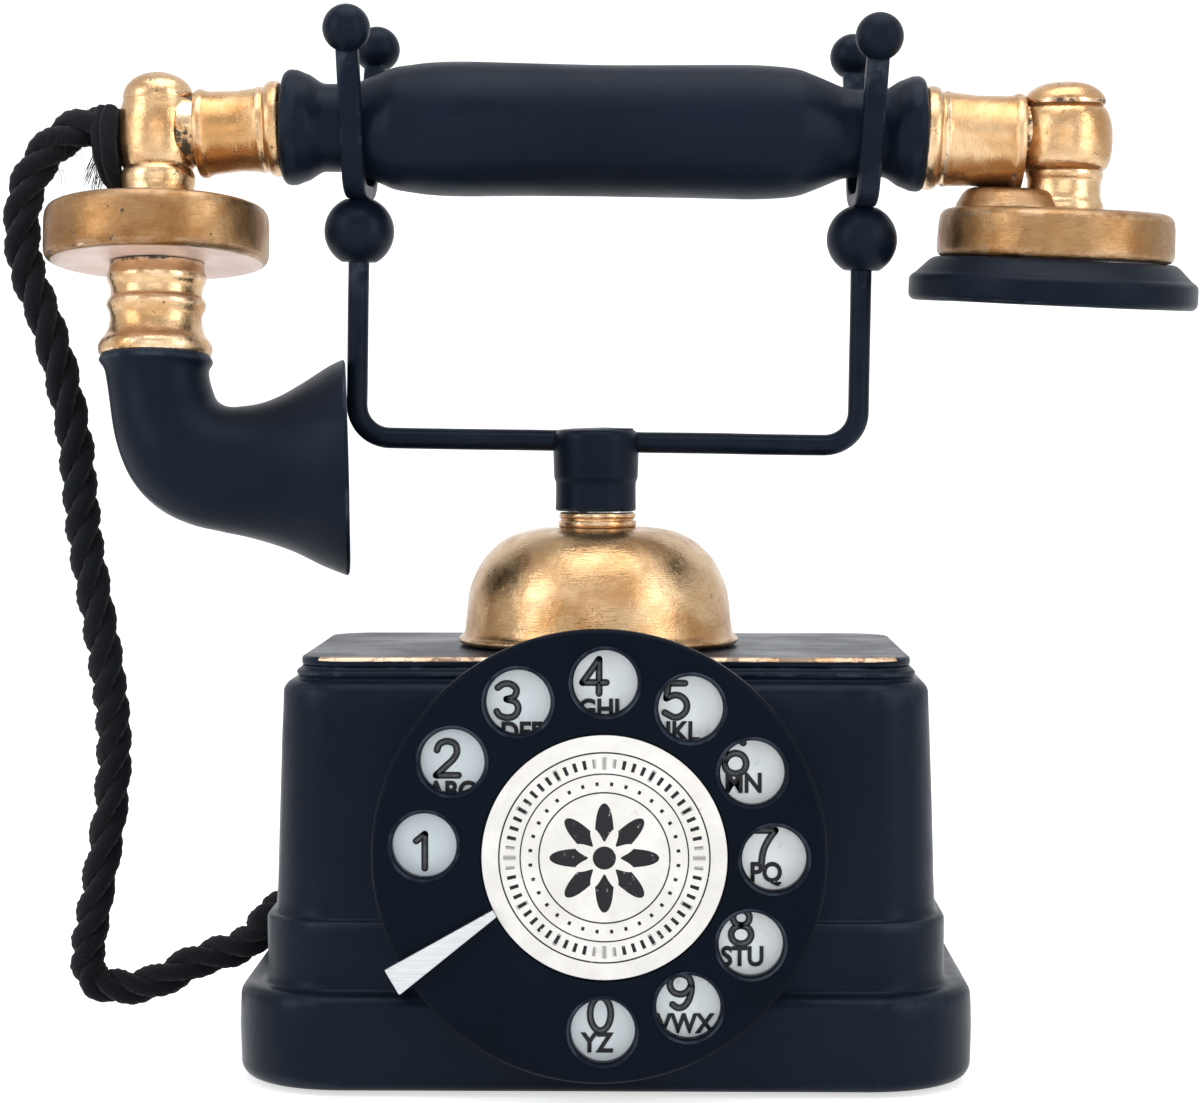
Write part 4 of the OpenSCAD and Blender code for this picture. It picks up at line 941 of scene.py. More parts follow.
# ------------------------------------------------------------------ casing
def rounded_ring(radius, z, uneven=0.0, seed=0.0):
    """The casing's rounded plan at one height."""
    corners = [
        arc(CASING_X + qx * CORE[0], qy * CORE[1], radius, a0, a0 + 90, 16)
        for qx, qy, a0 in ((1, 1, 0), (-1, 1, 90), (-1, -1, 180), (1, -1, 270))
    ]
    pts = []
    for corner, after in zip(corners, corners[1:] + corners[:1]):
        (x0, y0), (x1, y1) = corner[-1], after[0]
        pts += corner + [(x0 + (x1 - x0) * j / 12, y0 + (y1 - y0) * j / 12) for j in range(1, 12)]
    return [wobble((x, y, z), uneven, 0.03, seed) for x, y in pts]


CASING_PROFILE = (
    [(13.0, 1.0), (18.3, 1.0)]
    + arc(18.6, 4, 3, -84, 0, 8)
    + [(21.72, 8), (21.8, 11), (21.75, 15)]
    + arc(18.9, 17.3, 2.75, 5, 82, 8)
    + [(17.6, 20.02), (16.95, 20.25), (16.55, 20.8), (16.36, 21.7), (16.3, 24), (16.3, 31.5)]
    + arc(15.1, 32.7, 1.2, 8, 82, 6)
    + [(14.78, 34.1), (14.5, 34.8), (14.32, 36.4), (14.12, 40), (13.83, 50), (13.53, 60), (13.23, 70), (13.0, 75)]
    + arc(10.0, 78.0, 2.95, 10, 84, 8)
    + [(10.1, 81.15), (9.92, 81.4), (10.05, 81.75)]
    + arc(9.35, 82.1, 0.95, 10, 84, 6)
    + [(9.3, 83.3), (9.1, BODY_Z), (0.5, BODY_Z)]
)


class TELEPHONE_OT_casing(bpy.types.Operator):
    """Stepped casing with its dial boss, top plate, gilt line, felt and bush"""

    bl_idname = "telephone.casing"
    bl_label = "Casing"

    def execute(self, context):
        uneven = sizes().hand_wobble
        bm = bmesh.new()
        prof = []
        for a, b in zip(CASING_PROFILE, CASING_PROFILE[1:]):
            n = max(1, int(math.hypot(b[0] - a[0], b[1] - a[1]) / 5))
            prof += [(a[0] + (b[0] - a[0]) * i / n, a[1] + (b[1] - a[1]) * i / n) for i in range(n)]
        prof.append(CASING_PROFILE[-1])
        rings = [rounded_ring(r, z, uneven=uneven if z > 2 else 0, seed=1) for r, z in prof]
        inner = [rounded_ring(r, z) for r, z in ((0.5, 79.8), (10.4, 79.8), (10.4, 32), (12.7, 32), (12.7, 1.0))]
        skin(bm, rings + inner, loop_rings=True)
        boss = soften([(33.0, 30), (40.15, 30), (40.15, 50.6), (33.0, 50.6)], 0.6, closed=True)
        merge_in(outwards(bm), turned(boss, at(0, 0, DIAL_Z, FACE_ON)))
        finish_mesh("casing_shell", bm, "casing", "base", "casing", sharp=50)
        bm = bmesh.new()
        rim = soften([(0.5, BODY_Z), (9.2, BODY_Z), (9.2, TOP_Z), (0.5, TOP_Z)], 0.8, 6)
        rings = [rounded_ring(r, z, uneven=uneven * 0.6 if r > 1 else 0, seed=4) for r, z in rim]
        skin(bm, rings)
        finish_mesh("top_board", outwards(bm), "casing", "base", "top_plate", sharp=50)
        self.gilt_line()
        cad_copy("base_pad", "felt_pad", "felt")
        cad_copy("line_bush", "rear_bush", "rubber")
        return {"FINISHED"}

    def gilt_line(self):
        """The worn gilt line along the front edge of the top plate."""

        def worn(x, y):
            return noise.noise(Vector((x, y, 0.0)))

        bm = bmesh.new()
        rings = []
        n = 200
        for i in range(n + 1):
            x = -57.0 + 115.0 * i / n
            over = max(0.0, abs(x) - CORE[0])
            nx = math.copysign(over / 9.2, x)
            ny = -math.sqrt(1 - nx * nx)
            fade = min(1.0, (x + 57.4) / 3, (58.4 - x) / 3)
            low = 0.04 + 0.07 * worn(x * 0.13, 1.0) + 0.05 * worn(x * 0.8, 5.0)
            top = 0.3 + 0.12 * worn(x * 0.21, 8.0) + 0.1 * worn(x * 1.1, 3.0)
            low, top = max(-0.06, low * fade), max(0.1, top * fade)
            cx = math.copysign(min(abs(x), CORE[0]), x)
            section = (
                (8.75, -0.75 - low), (9.3, -0.7 - low), (9.36, -0.6), (9.17, -0.26),
                (8.72, 0.04), (8.6 - top, 0.1), (8.45 - top, -0.15), (8.5, -0.6),
            )
            rings.append([(CASING_X + cx + nx * r, -CORE[1] + ny * r, TOP_Z + z) for r, z in section])
        skin(bm, rings)
        finish_mesh("gilt_line", outwards(bm), "trim", "base", "trim_strip", sharp=60)


# -------------------------------------------------------------------- gong
class TELEPHONE_OT_gong(bpy.types.Operator):
    """Gong with its round nut"""

    bl_idname = "telephone.gong"
    bl_label = "Gong"

    def execute(self, context):
        R, H, z = 29.0, 24.2, 86.1

        def side(d):
            rows = [
                (R - 0.25 - d * 0.6, z), (R + 0.25 - d, z + 0.55), (R + 0.2 - d, z + 1.25), (R * 0.984 - d, z + 1.9),
                (R * 0.968 - d, z + 3.0),
                (R * 0.958 - d, z + H * 0.22), (R * 0.94 - d, z + H * 0.42), (R * 0.905 - d, z + H * 0.56),
                (R * 0.845 - d * 0.95, z + H * 0.7 - d * 0.3), (R * 0.76 - d * 0.8, z + H * 0.82 - d * 0.6),
                (R * 0.66 - d * 0.6, z + H * 0.91 - d * 0.8), (R * 0.55 - d * 0.3, z + H * 0.965 - d),
                (R * 0.42, z + H * 0.995 - d), (8.2, z + H - d), (6.02, z + H - d),
            ]
            return smooth_curve(rows, 4)

        prof = side(0) + side(1.6)[::-1]
        bm = off_axis(turned(prof, at(), 160, sizes().hand_wobble * 1.3, 7), -1.1)
        finish_mesh("gong_bell", bm, "gong", "base", "gong", sharp=60)
        rows = [
            (6.02, 0), (7.9, 0), (8.2, 0.4), (8.2, 1.3), (7.7, 1.6),
            (7.7, 1.95), (8.1, 2.2), (8.1, 2.85), (7.7, 3.2), (6.02, 3.2),
        ]
        prof = soften([(r, CROWN_Z + z) for r, z in rows], 0.25, 3)
        bm = off_axis(turned(prof, at(), 96, sizes().hand_wobble, 8), -1.4)
        finish_mesh("gong_collar", bm, "elbow", "base", "gong_nut")
        return {"FINISHED"}


# -------------------------------------------------------------------- dial
HOLE_START, HOLE_STEP, HOLE_PITCH, HOLE_R = 176.3, 29.45, 33.75, 6.2
# Each figure with its letters, its shift from the hole's middle and the letters' shift
FIGURES = [
    ("1", "", (-0.4, -1.5), None), ("2", "ABC", (-1.2, 0.3), (-0.3, -6.2)), ("3", "DEF", (-2.2, 0), (0.5, -6.2)),
    ("4", "GHI", (-2.2, 0.95), (-1.2, -5.5)), ("5", "JKL", (-2.9, 1.3), (-1.6, -4.9)),
    ("6", "MN", (-3.2, 2.8), (-1.6, -2.5)), ("7", "PQ", (-1.8, 1.8), (-1.5, -3.2)),
    ("8", "STU", (-1.8, 2.9), (-1.5, -3.0)), ("9", "VWX", (-1.5, 2.6), (-0.6, -3.9)),
    ("0", "YZ", (-0.5, 2.8), (-1.1, -3.0)),
]
SIX = [
    (0.22, 0.40), (0.06, 0.5), (-0.13, 0.43), (-0.27, 0.17), (-0.31, -0.14), (-0.23, -0.4), (0, -0.5), (0.22, -0.42),
    (0.3, -0.2), (0.21, 0.02), (0, 0.1), (-0.19, 0.02), (-0.3, -0.15),
]


def pen(*points):
    return smooth_curve(points, 6)


DIGIT_LINES = {
    "1": [[(-0.2, 0.3), (0.04, 0.5)], [(0.04, 0.5), (0.04, -0.5)]],
    "2": [
        pen(
            (-0.28, 0.24), (-0.2, 0.42), (0, 0.5), (0.22, 0.42), (0.28, 0.2),
            (0.18, -0.02), (-0.06, -0.26), (-0.3, -0.5),
        ),
        [(-0.3, -0.5), (0.32, -0.5)],
    ],
    "3": [
        pen((-0.27, 0.38), (-0.1, 0.49), (0.1, 0.48), (0.25, 0.33), (0.19, 0.12), (-0.02, 0.04)),
        pen((-0.02, 0.04), (0.22, -0.04), (0.3, -0.24), (0.2, -0.44), (0, -0.5), (-0.2, -0.45), (-0.3, -0.32)),
    ],
    "4": [[(0.14, -0.5), (0.14, 0.5)], [(0.14, 0.5), (-0.32, -0.18)], [(-0.32, -0.18), (0.34, -0.18)]],
    "5": [
        [(0.26, 0.5), (-0.2, 0.5)],
        [(-0.2, 0.5), (-0.25, 0.06)],
        pen(
            (-0.25, 0.06), (-0.04, 0.15), (0.16, 0.11), (0.3, -0.06), (0.3, -0.28),
            (0.16, -0.45), (-0.04, -0.5), (-0.3, -0.36),
        ),
    ],
    "6": [smooth_curve(SIX, 5)],
    "7": [[(-0.3, 0.5), (0.3, 0.5)], pen((0.3, 0.5), (0.1, 0.2), (-0.03, -0.1), (-0.09, -0.5))],
    "8": [bowl(0, 0.27, 0.23, 0.23), bowl(0, -0.23, 0.28, 0.27)],
    "9": [smooth_curve([(-x, -y) for x, y in SIX], 5)],
    "0": [bowl(0, 0, 0.29, 0.5)],
}


def pen_line(points, width, back, face):
    """A drawn line with round ends, raised from one depth to another on the dial's face."""
    bm = bmesh.new()
    h = width / 2
    closed = math.dist(points[0], points[-1]) < 1e-6
    pts = points[:-1] if closed else points
    n = len(pts)
    left, right = [], []
    for i, p in enumerate(pts):
        a = pts[i - 1] if closed or i else p
        b = pts[(i + 1) % n] if closed or i < n - 1 else p
        d = Vector((b[0] - a[0], b[1] - a[1])).normalized()
        left.append((p[0] - d.y * h, p[1] + d.x * h))
        right.append((p[0] + d.y * h, p[1] - d.x * h))

    def corner(p, depth):
        return bm.verts.new((p[0], -depth, DIAL_Z + p[1]))

    rows = [[corner(p, d) for p in side] for side, d in ((left, back), (left, face), (right, face), (right, back))]
    for a, b in zip(rows, rows[1:] + rows[:1]):
        for k in range(n if closed else n - 1):
            l = (k + 1) % n
            bm.faces.new((a[k], a[l], b[l], b[k]))
    for i, j in () if closed else ((0, 1), (n - 1, n - 2)):
        a = math.atan2(pts[i][1] - pts[j][1], pts[i][0] - pts[j][0])
        turns = [a + (math.pi / 2 - math.pi * k / 8) for k in range(1, 8)]
        tip = [(pts[i][0] + h * math.cos(t), pts[i][1] + h * math.sin(t)) for t in turns]
        first, last = (0, 3) if i else (3, 0)
        low = [rows[first][i]] + [corner(p, back) for p in tip] + [rows[last][i]]
        top = [rows[1 if i else 2][i]] + [corner(p, face) for p in tip] + [rows[2 if i else 1][i]]
        for k in range(8):
            bm.faces.new((low[k], low[k + 1], top[k + 1], top[k]))
        bm.faces.new(top)
        bm.faces.new(list(reversed(low)))
    return outwards(bm)


def hole_places():
    angles = [math.radians(HOLE_START - i * HOLE_STEP) for i in range(10)]
    return [(HOLE_PITCH * math.cos(a), HOLE_PITCH * math.sin(a)) for a in angles]


def wheel_mesh():
    """Finger wheel: front and back plates with ten bevelled holes."""
    R, T = WHEEL_R, WHEEL_T
    front = -FRONT
    bm = bmesh.new()

    def loop(points, depth):
        return [bm.verts.new((x, -depth, DIAL_Z + y)) for x, y in points]

    def circle(cx, cy, r, n):
        return [(cx + r * math.cos(TAU * k / n), cy + r * math.sin(TAU * k / n)) for k in range(n)]

    N, M = 160, 48
    outer = [loop(circle(0, 0, r, N), d) for r, d in (
        (R - 1.5, front), (R - 0.85, front - 0.08), (R - 0.35, front - 0.35), (R - 0.08, front - 0.8), (R, front - 1.3),
        (R, front - T + 0.7), (R - 0.2, front - T + 0.25), (R - 0.7, front - T),
    )]
    for a, b in zip(outer, outer[1:]):
        bridge(bm, a, b)
    holes = []
    for cx, cy in hole_places():
        rings = [loop(circle(cx, cy, r, M), d) for r, d in (
            (HOLE_R + 0.95, front), (HOLE_R + 0.6, front - 0.06), (HOLE_R + 0.28, front - 0.3),
            (HOLE_R + 0.06, front - 0.75), (HOLE_R, front - 1.2), (HOLE_R, front - T + 0.3), (HOLE_R + 0.25, front - T),
        )]
        for a, b in zip(rings, rings[1:]):
            bridge(bm, b, a)
        holes.append((rings[0], rings[-1]))
    seat = [loop(circle(LABEL_X, 0, r, N), d) for r, d in ((24.3, front), (24.05, front - 0.15), (23.95, front - 0.7))]
    for a, b in zip(seat, seat[1:]):
        bridge(bm, b, a)
    hub = loop(circle(0, 0, 2.52, N), front - 0.7)
    bridge(bm, hub, seat[-1])
    hub_back = loop(circle(0, 0, 2.52, N), front - T)
    bridge(bm, hub_back, hub)
    for ring_out, ring_holes, ring_in in (
        (outer[0], [h[0] for h in holes], seat[0]),
        (outer[-1], [h[1] for h in holes], hub_back),
    ):
        edges = [
            bm.edges.get((ring[k], ring[(k + 1) % len(ring)]))
            for ring in [ring_out, ring_in] + ring_holes
            for k in range(len(ring))
        ]
        bmesh.ops.triangle_fill(bm, edges=edges, use_beauty=True, use_dissolve=False)
    return outwards(bm)


def lettering(text, size, x, y, depth, thick, squeeze, weight):
    """Text as a bmesh in millimetres, upright on a face that looks towards -Y."""
    curve = bpy.data.curves.new("figure", "FONT")
    curve.body = text
    curve.size = size
    curve.align_x = "CENTER"
    curve.align_y = "CENTER"
    curve.extrude = thick / 2
    curve.offset = weight
    curve.bevel_depth = thick * 0.25
    curve.bevel_resolution = 1
    curve.resolution_u = 5
    ob = bpy.data.objects.new("figure", curve)
    bpy.context.scene.collection.objects.link(ob)
    bpy.context.view_layer.update()
    mesh = bpy.data.meshes.new_from_object(ob.evaluated_get(bpy.context.evaluated_depsgraph_get()))
    bm = bmesh.new()
    bm.from_mesh(mesh)
    bpy.data.objects.remove(ob)
    bpy.data.curves.remove(curve)
    bpy.data.meshes.remove(mesh)
    bm.transform(at(x, -depth, DIAL_Z + y) @ FACE_ON @ Matrix.Diagonal((squeeze, 1, 1, 1)))
    return bm


class TELEPHONE_OT_dial(bpy.types.Operator):
    """Finger wheel, number plate with its figures, centre label and finger stop"""

    bl_idname = "telephone.dial"
    bl_label = "Dial"

    def execute(self, context):
        finish_mesh("dial_wheel", wheel_mesh(), "wheel", "dial", "finger_wheel", sharp=40)
        holes = (10, HOLE_PITCH, HOLE_START, HOLE_STEP, HOLE_R + 0.55, 0.3)
        # The beads take the lighter cradle lacquer rather than the darker wheel lacquer, as a painted highlight round
        # each hole.
        rims("finger_hole_rims", (0, FRONT, DIAL_Z), (math.pi / 2, 0, 0), *holes, "wire", "dial", "black")
        self.plate()
        self.label()
        self.stop()
        cad_copy("dial_case", "dial_cup", "steel")
        return {"FINISHED"}

    def plate(self):
        front = -FRONT - WHEEL_T - PLATE_GAP
        prof = soften([(4.5, front - 1), (41.1, front - 1), (41.1, front), (4.5, front)], 0.25, closed=True)
        bm = turned(prof, at(0, 0, DIAL_Z, FACE_ON), 128)
        finish_mesh("figure_plate", bm, "enamel", "base", "number_plate")
        bm = bmesh.new()
        grey = bmesh.new()
        for (cx, cy), (digit, letters, off, low) in zip(hole_places(), FIGURES):
            x, y = cx + off[0], cy + off[1]
            for line in DIGIT_LINES[digit]:
                line = [(x + px * 6.9, y + py * 6.6) for px, py in line]
                merge_in(bm, pen_line(line, 1.35, front - 0.05, front + 0.1))
                merge_in(grey, pen_line(line, 0.5, front - 0.05, front + 0.14))
            if letters:
                merge_in(bm, lettering(letters, 5.2, cx + low[0], cy + low[1], front + 0.08, 0.2, 0.9, 0.13))
        finish_mesh("figure_cores", grey, "worn_ink", "base", sharp=50)
        finish_mesh("plate_figures", bm, "ink", "base", sharp=50)

    def label(self):
        front = -FRONT
        prof = soften([(0, front - 0.68), (LABEL_R, front - 0.68), (LABEL_R, front + 0.05), (0, front + 0.1)], 0.2, 4)
        bm = turned(prof, at(LABEL_X, 0, DIAL_Z, FACE_ON), 160)
        finish_mesh("centre_label", bm, "card", "dial", "label_disc")

    def stop(self):
        """The tapered blade with its leg bent back to the casing."""
        bm = bmesh.new()
        a = math.radians(210.5)
        leg, start, out = 1.15, 22.6, 45.35
        y0, t = FRONT - 0.8, 1.0
        ca, sa = math.cos(a), math.sin(a)

        def world(r, s, y):
            s += 1.46 * (r - start) / 22.7 - 1.06
            return (r * ca - s * sa, y, DIAL_Z + r * sa + s * ca)

        far = out + leg
        outline = [(start, 0.75), (start + 0.7, 0.85), (far - 0.3, 2.8), (far, 2.7)]
        outline = soften(outline + [(r, -s) for r, s in reversed(outline)], 0.12, 2, closed=True)
        loops = []
        for grow, y in ((-0.16, y0), (0, y0 - 0.16), (0, y0 - t + 0.2), (-0.06, y0 - t + 0.07), (-0.2, y0 - t)):
            loop = []
            for r, s in outline:
                along = -grow if r < 24 else grow if r > out else 0
                across = grow if s > 0 else -grow
                loop.append(bm.verts.new(world(r + along, s + across, y)))
            loops.append(loop)
        for p, q in zip(loops, loops[1:]):
            bridge(bm, p, q)
        bm.faces.new(loops[-1])
        bm.faces.new(loops[0][::-1])
        rod = soften([(0, 41.2), (leg, 41.2), (leg, 58.9), (0, 58.9)], 0.1)
        merge_in(bm, turned(rod, at(out * ca, 0, DIAL_Z + out * sa, FACE_ON), 32))
        finish_mesh("stop_blade", outwards(bm), "stop", "base", "finger_stop", sharp=35)


# ------------------------------------------------------------------ cradle
def tube(path, r, sides, rough=0.0, seed=0.0):
    """Round wire along a line of points in millimetres."""
    bm = bmesh.new()
    rings = []
    for p, (u, v, _) in zip(path, carried_frames([Vector(p) for p in path])):
        rings.append([wobble(q, rough, 0.06, seed) for q in ring_about(p, u, v, sides, lambda a: r)])
    skin(bm, rings)
    return outwards(bm)


def strap(path, side_dir, width, thick):
    """Flat strap with softened corners along a line; side_dir is across its width."""
    bm = bmesh.new()
    w, t = width / 2, thick / 2
    sect = soften([(-w, -t), (w, -t), (w, t), (-w, t)], 0.75, 4, closed=True)
    e1 = Vector(side_dir).normalized()
    rings = []
    n = len(path)
    for i, p in enumerate(path):
        d = (Vector(path[min(n - 1, i + 1)]) - Vector(path[max(0, i - 1)])).normalized()
        e2 = d.cross(e1).normalized()
        rings.append([Vector(p) + e1 * a + e2 * b for a, b in sect])
    skin(bm, rings)
    return outwards(bm)


def ball(r, place, flat_top, flat_low, uneven, seed):
    """A ball, cut flat at a height (None for whole) where something is seated on it."""
    rows = []
    n = 40
    for i in range(n + 1):
        a = -math.pi / 2 + math.pi * i / n
        z = r * math.sin(a)
        if flat_top is not None and z > flat_top or flat_low is not None and z < flat_low:
            continue
        rows.append((max(0.0, r * math.cos(a)) if 0 < i < n else 0.0, z))
    if flat_low is not None:
        rows = [(0, flat_low), (math.sqrt(r * r - flat_low * flat_low), flat_low)] + rows
    if flat_top is not None:
        rows += [(math.sqrt(r * r - flat_top * flat_top), flat_top), (0, flat_top)]
    return turned(rows, place, 64, uneven, seed)


class TELEPHONE_OT_cradle(bpy.types.Operator):
    """Socket, wire frame, balls and the two twin-prong forks"""

    bl_idname = "telephone.cradle"
    bl_label = "Cradle"

    def execute(self, context):
        uneven = sizes().hand_wobble
        s0 = CROWN_Z + 3.5
        h0 = s0 + 6.3
        top = 130.9
        prof = [
            (6.35, s0), (8.2, s0), (8.45, s0 + 0.35), (8.4, s0 + 1.0), (8.35, s0 + 3), (8.35, h0 - 0.9),
            (8.4, h0 - 0.35), (8.5, h0), (8.75, h0 + 0.6), (8.85, h0 + 3), (8.95, h0 + 6), (9.0, top - 1.9),
            (8.75, top - 0.9), (8.1, top - 0.2), (6.5, top + 0.15), (0, top + 0.4),
        ]
        prof = [(0, 119.3), (6.35, 119.3)] + soften(prof, 0.3, 3)
        bm = off_axis(turned(prof, at(), 96, uneven, 11), -1.7, 6.4, 1.2)
        finish_mesh("neck_socket", bm, "wire", "cradle", "cradle_socket", sharp=45)
        z, br, wire_r = 128.5, 7.0, 2.2
        side = [(UPRIGHT, 165.2 - i) for i in range(0, 29, 4)] + arc(UPRIGHT - br, z + br, br, 0, -90, 12)
        path = [(-x, 0, h) for x, h in side] + [(x, 0, z) for x in range(-40, 41, 8)]
        path += [(x, 0, h) for x, h in side[::-1]]
        bm = tube([UNEVEN_CRADLE @ Vector(p) for p in path], wire_r, 32, uneven, 5)
        finish_mesh("cradle_wire", bm, "wire", "cradle", "cradle_frame")
        bm = bmesh.new()
        for x, seed in ((-UPRIGHT, 2), (UPRIGHT, 3)):
            merge_in(bm, ball(7.35, UNEVEN_CRADLE @ at(x, 0, 171.6), 6.65, -6.35, uneven, seed))
        finish_mesh("fork_balls", bm, "wire", "cradle", "cradle_balls")
        tips = bmesh.new()
        for side, name, node in ((-1, "left_prongs", "fork_left"), (1, "right_prongs", "fork_right")):
            turn = UNEVEN_CRADLE @ at(side * UPRIGHT, rot=Matrix.Rotation(math.radians(5 * side), 4, "Z"))
            bm = self.fork()
            bm.transform(turn)
            finish_mesh(name, bm, "wire", "cradle", node, sharp=50)
            for t in (-1, 1):
                place = turn @ at(0, t * FORK_Y, TIP_Z, Matrix.Rotation(-t * LEAN, 4, "X"))
                merge_in(tips, ball(4.9, place, None, -4.3, uneven, side * 3 + t))
        finish_mesh("prong_tips", tips, "wire", "cradle", "fork_tips")
        return {"FINISHED"}

    def fork(self):
        """A strap bent to a V, its prongs leaning out to the balls."""
        mid, bend, floor = 179.75, 5.0, 3.0
        turn = math.pi / 2 - LEAN
        tip = (FORK_Y - 4.3 * math.sin(LEAN), TIP_Z - 4.3 * math.cos(LEAN))
        half = [(1.5, mid)] + arc(floor, mid + bend, bend, -90, math.degrees(turn) - 90, 12)
        end = half[-1]
        half += [(end[0] + (tip[0] - end[0]) * i / 6, end[1] + (tip[1] - end[1]) * i / 6) for i in range(1, 7)]
        path = [(0, -y, z) for y, z in reversed(half)] + [(0, 0, mid)] + [(0, y, z) for y, z in half]
        return strap(path, (1, 0, 0), 4.6, 3.0)


# ----------------------------------------------------------------- handset
class TELEPHONE_OT_handset(bpy.types.Operator):
    """Grip, ferrules, elbows, receiver, transmitter and horn"""

    bl_idname = "telephone.handset"
    bl_label = "Handset"

    def execute(self, context):
        for piece in (self.grip, self.ferrules, self.elbows, self.receiver, self.transmitter, self.horn):
            piece()
        return {"FINISHED"}

    def grip(self):
        gx, br, nr = 67.0, 12.0, 9.1
        half = [(3.02, gx), (br - 2.0, gx)] + arc(br - 1.8, gx - 1.8, 1.8, 88, 0, 7)
        half += [(br - 0.1, gx - 3.0), (br - 0.5, gx - 4)]
        for i in range(1, 11):
            ease = (1 - math.cos(math.pi * (i / 10))) / 2
            half.append((br - 0.8 + (nr - br + 0.8) * ease, gx - 4.4 - 4.6 * i / 10))
        half += [(nr, 56.0), (nr, 54.4)]
        left, right = [
            smooth_curve(
                [
                    (nr, 54.4), (9.25, 52), (9.9 + d, 49.5), (11.0 + d, 46.8), (12.25 + d, 43.8),
                    (13.2, 40.4), (13.75, 36), (14.0, 29), (13.75, 14), (13.6, 0),
                ],
                5,
            )
            for d in (0.35, -0.25)
        ]
        prof = half + right + [(r, -x) for r, x in reversed(half + left)]
        bm = turned(prof, TILTED @ at(0, 0, AXIS_Z, ALONG_X), 128, sizes().hand_wobble * 1.2, 21)
        finish_mesh("handle", bm, "grip", "handset", "grip", sharp=50)

    def ferrules(self):
        def prof(collar, barrel, x0, x1):
            near = (
                (3.02, 0), (collar - 0.6, 0), (collar, 0.7), (collar + 0.05, 1.6), (collar - 0.1, 2.5),
                (collar - 0.5, 3.1), (collar - 1.1, 3.4), (collar - 1.15, 3.9), (barrel + 0.35, 4.5), (barrel, 5.6),
            )
            far = (
                (barrel - 0.1, -3.4), (barrel + 0.1, -2.4), (barrel + 0.55, -1.7), (barrel + 0.6, -0.9),
                (barrel + 0.3, -0.2), (barrel, 0), (3.02, 0),
            )
            rows = [(r, x0 + x) for r, x in near] + [(barrel - 0.35, (x0 + x1) / 2)] + [(r, x1 + x) for r, x in far]
            return soften(rows, 0.5, 3)

        u = sizes().hand_wobble * 1.6
        rows = [(r, -x) for r, x in prof(10, 8.75, 67, LEFT_FACE + 0.6)]
        place = turned_about(-67, AXIS_Z, -3.5, "Y", (0, 0, 0.1)) @ at(0, 0, AXIS_Z, ALONG_X)
        bm = turned(rows, place, 96, u, 31)
        finish_mesh("left_ferrule", bm, "ferrule", "handset", "ferrule_left", sharp=50)
        place = TILTED @ turned_about(67, AXIS_Z, 2.6, "Y", (0, 0, -0.7)) @ at(0, 0, AXIS_Z, ALONG_X)
        bm = turned(prof(10.8, 9.75, 66.6, RIGHT_FACE + 0.3), place, 96, u, 32)
        finish_mesh("right_ferrule", bm, "ferrule", "handset", "ferrule_right", sharp=50)

    def elbows(self):
        u = sizes().hand_wobble * 2.2
        barrel = [
            (0.8, -0.98), (0.9, -0.86), (0.96, -0.66), (0.995, -0.36), (1, -0.1), (0.99, 0.2), (0.95, 0.46),
            (0.89, 0.65), (0.815, 0.76),
        ]
        dome = [(0.855, 0.92), (0.81, 1.06), (0.7, 1.22), (0.5, 1.36), (0.25, 1.43), (0, 1.45)]
        groove = [(0.79, 0.785), (0.8, 0.81), (0.845, 0.835)]
        capped = [(0, -0.9)] + smooth_curve(barrel, 4) + groove + smooth_curve(dome, 4)
        domed = [(0, -0.9)] + smooth_curve(barrel[:-1] + [(0.86, 0.75)], 4) + [(0.85, 0.77), (0.855, 0.79)]
        domed += smooth_curve([(0.865, 0.83), (0.84, 0.97), (0.74, 1.15), (0.55, 1.3), (0.28, 1.41), (0, 1.44)], 4)

        def body(share, r, v, x, rows, low, stub, tip, stand):
            bm = turned([(a * r, b * v) for a, b in share], stand @ at(x, 0, AXIS_Z), 96, u, x)
            merge_in(bm, turned(soften(rows, 0.35, 3), tip @ at(x, 0, low), 96, u, x + 9))
            side = math.copysign(1, x)
            rows = [(0, stub), (v * 0.86, stub), (v * 0.87, stub + 1.5), (v * 0.9, stub + 4), (0, stub + 4)]
            merge_in(bm, turned([(a, side * b) for a, b in rows], stand @ at(0, 0, AXIS_Z, ALONG_X), 64))
            return bm

        neck = [
            (0, 0), (7.9, 0), (8.05, 0.5), (8.0, 1.8), (7.7, 3.0), (7.55, 4), (7.75, 5.0), (7.9, 6.0), (7.7, 7.2),
            (7.0, 8.2), (6.6, 8.8), (0, 10),
        ]
        bm = body(domed, 8.5, 8.6, TX, neck, DISC_Z + DISC_T, LEFT_FACE, TIPPED, at(0, 0, -0.5))
        finish_mesh("left_elbow", bm, "elbow", "handset", "elbow_left", sharp=50)
        neck = [
            (0, -1), (8.2, -1), (8.35, 0.4), (8.3, 1.4), (7.9, 2.2), (7.65, 3.2), (7.6, 6.0), (7.9, 6.8), (8.05, 7.6),
            (7.8, 8.6), (7.2, 9.6), (0, 11),
        ]
        bm = body(capped, 10.0, 7.7, RX, neck, CASE_TOP, RIGHT_FACE, at(-0.4, 0, 0) @ LEANING, at(-0.8, 0, 0) @ TILTED)
        finish_mesh("right_elbow", bm, "elbow", "handset", "elbow_right", sharp=50)

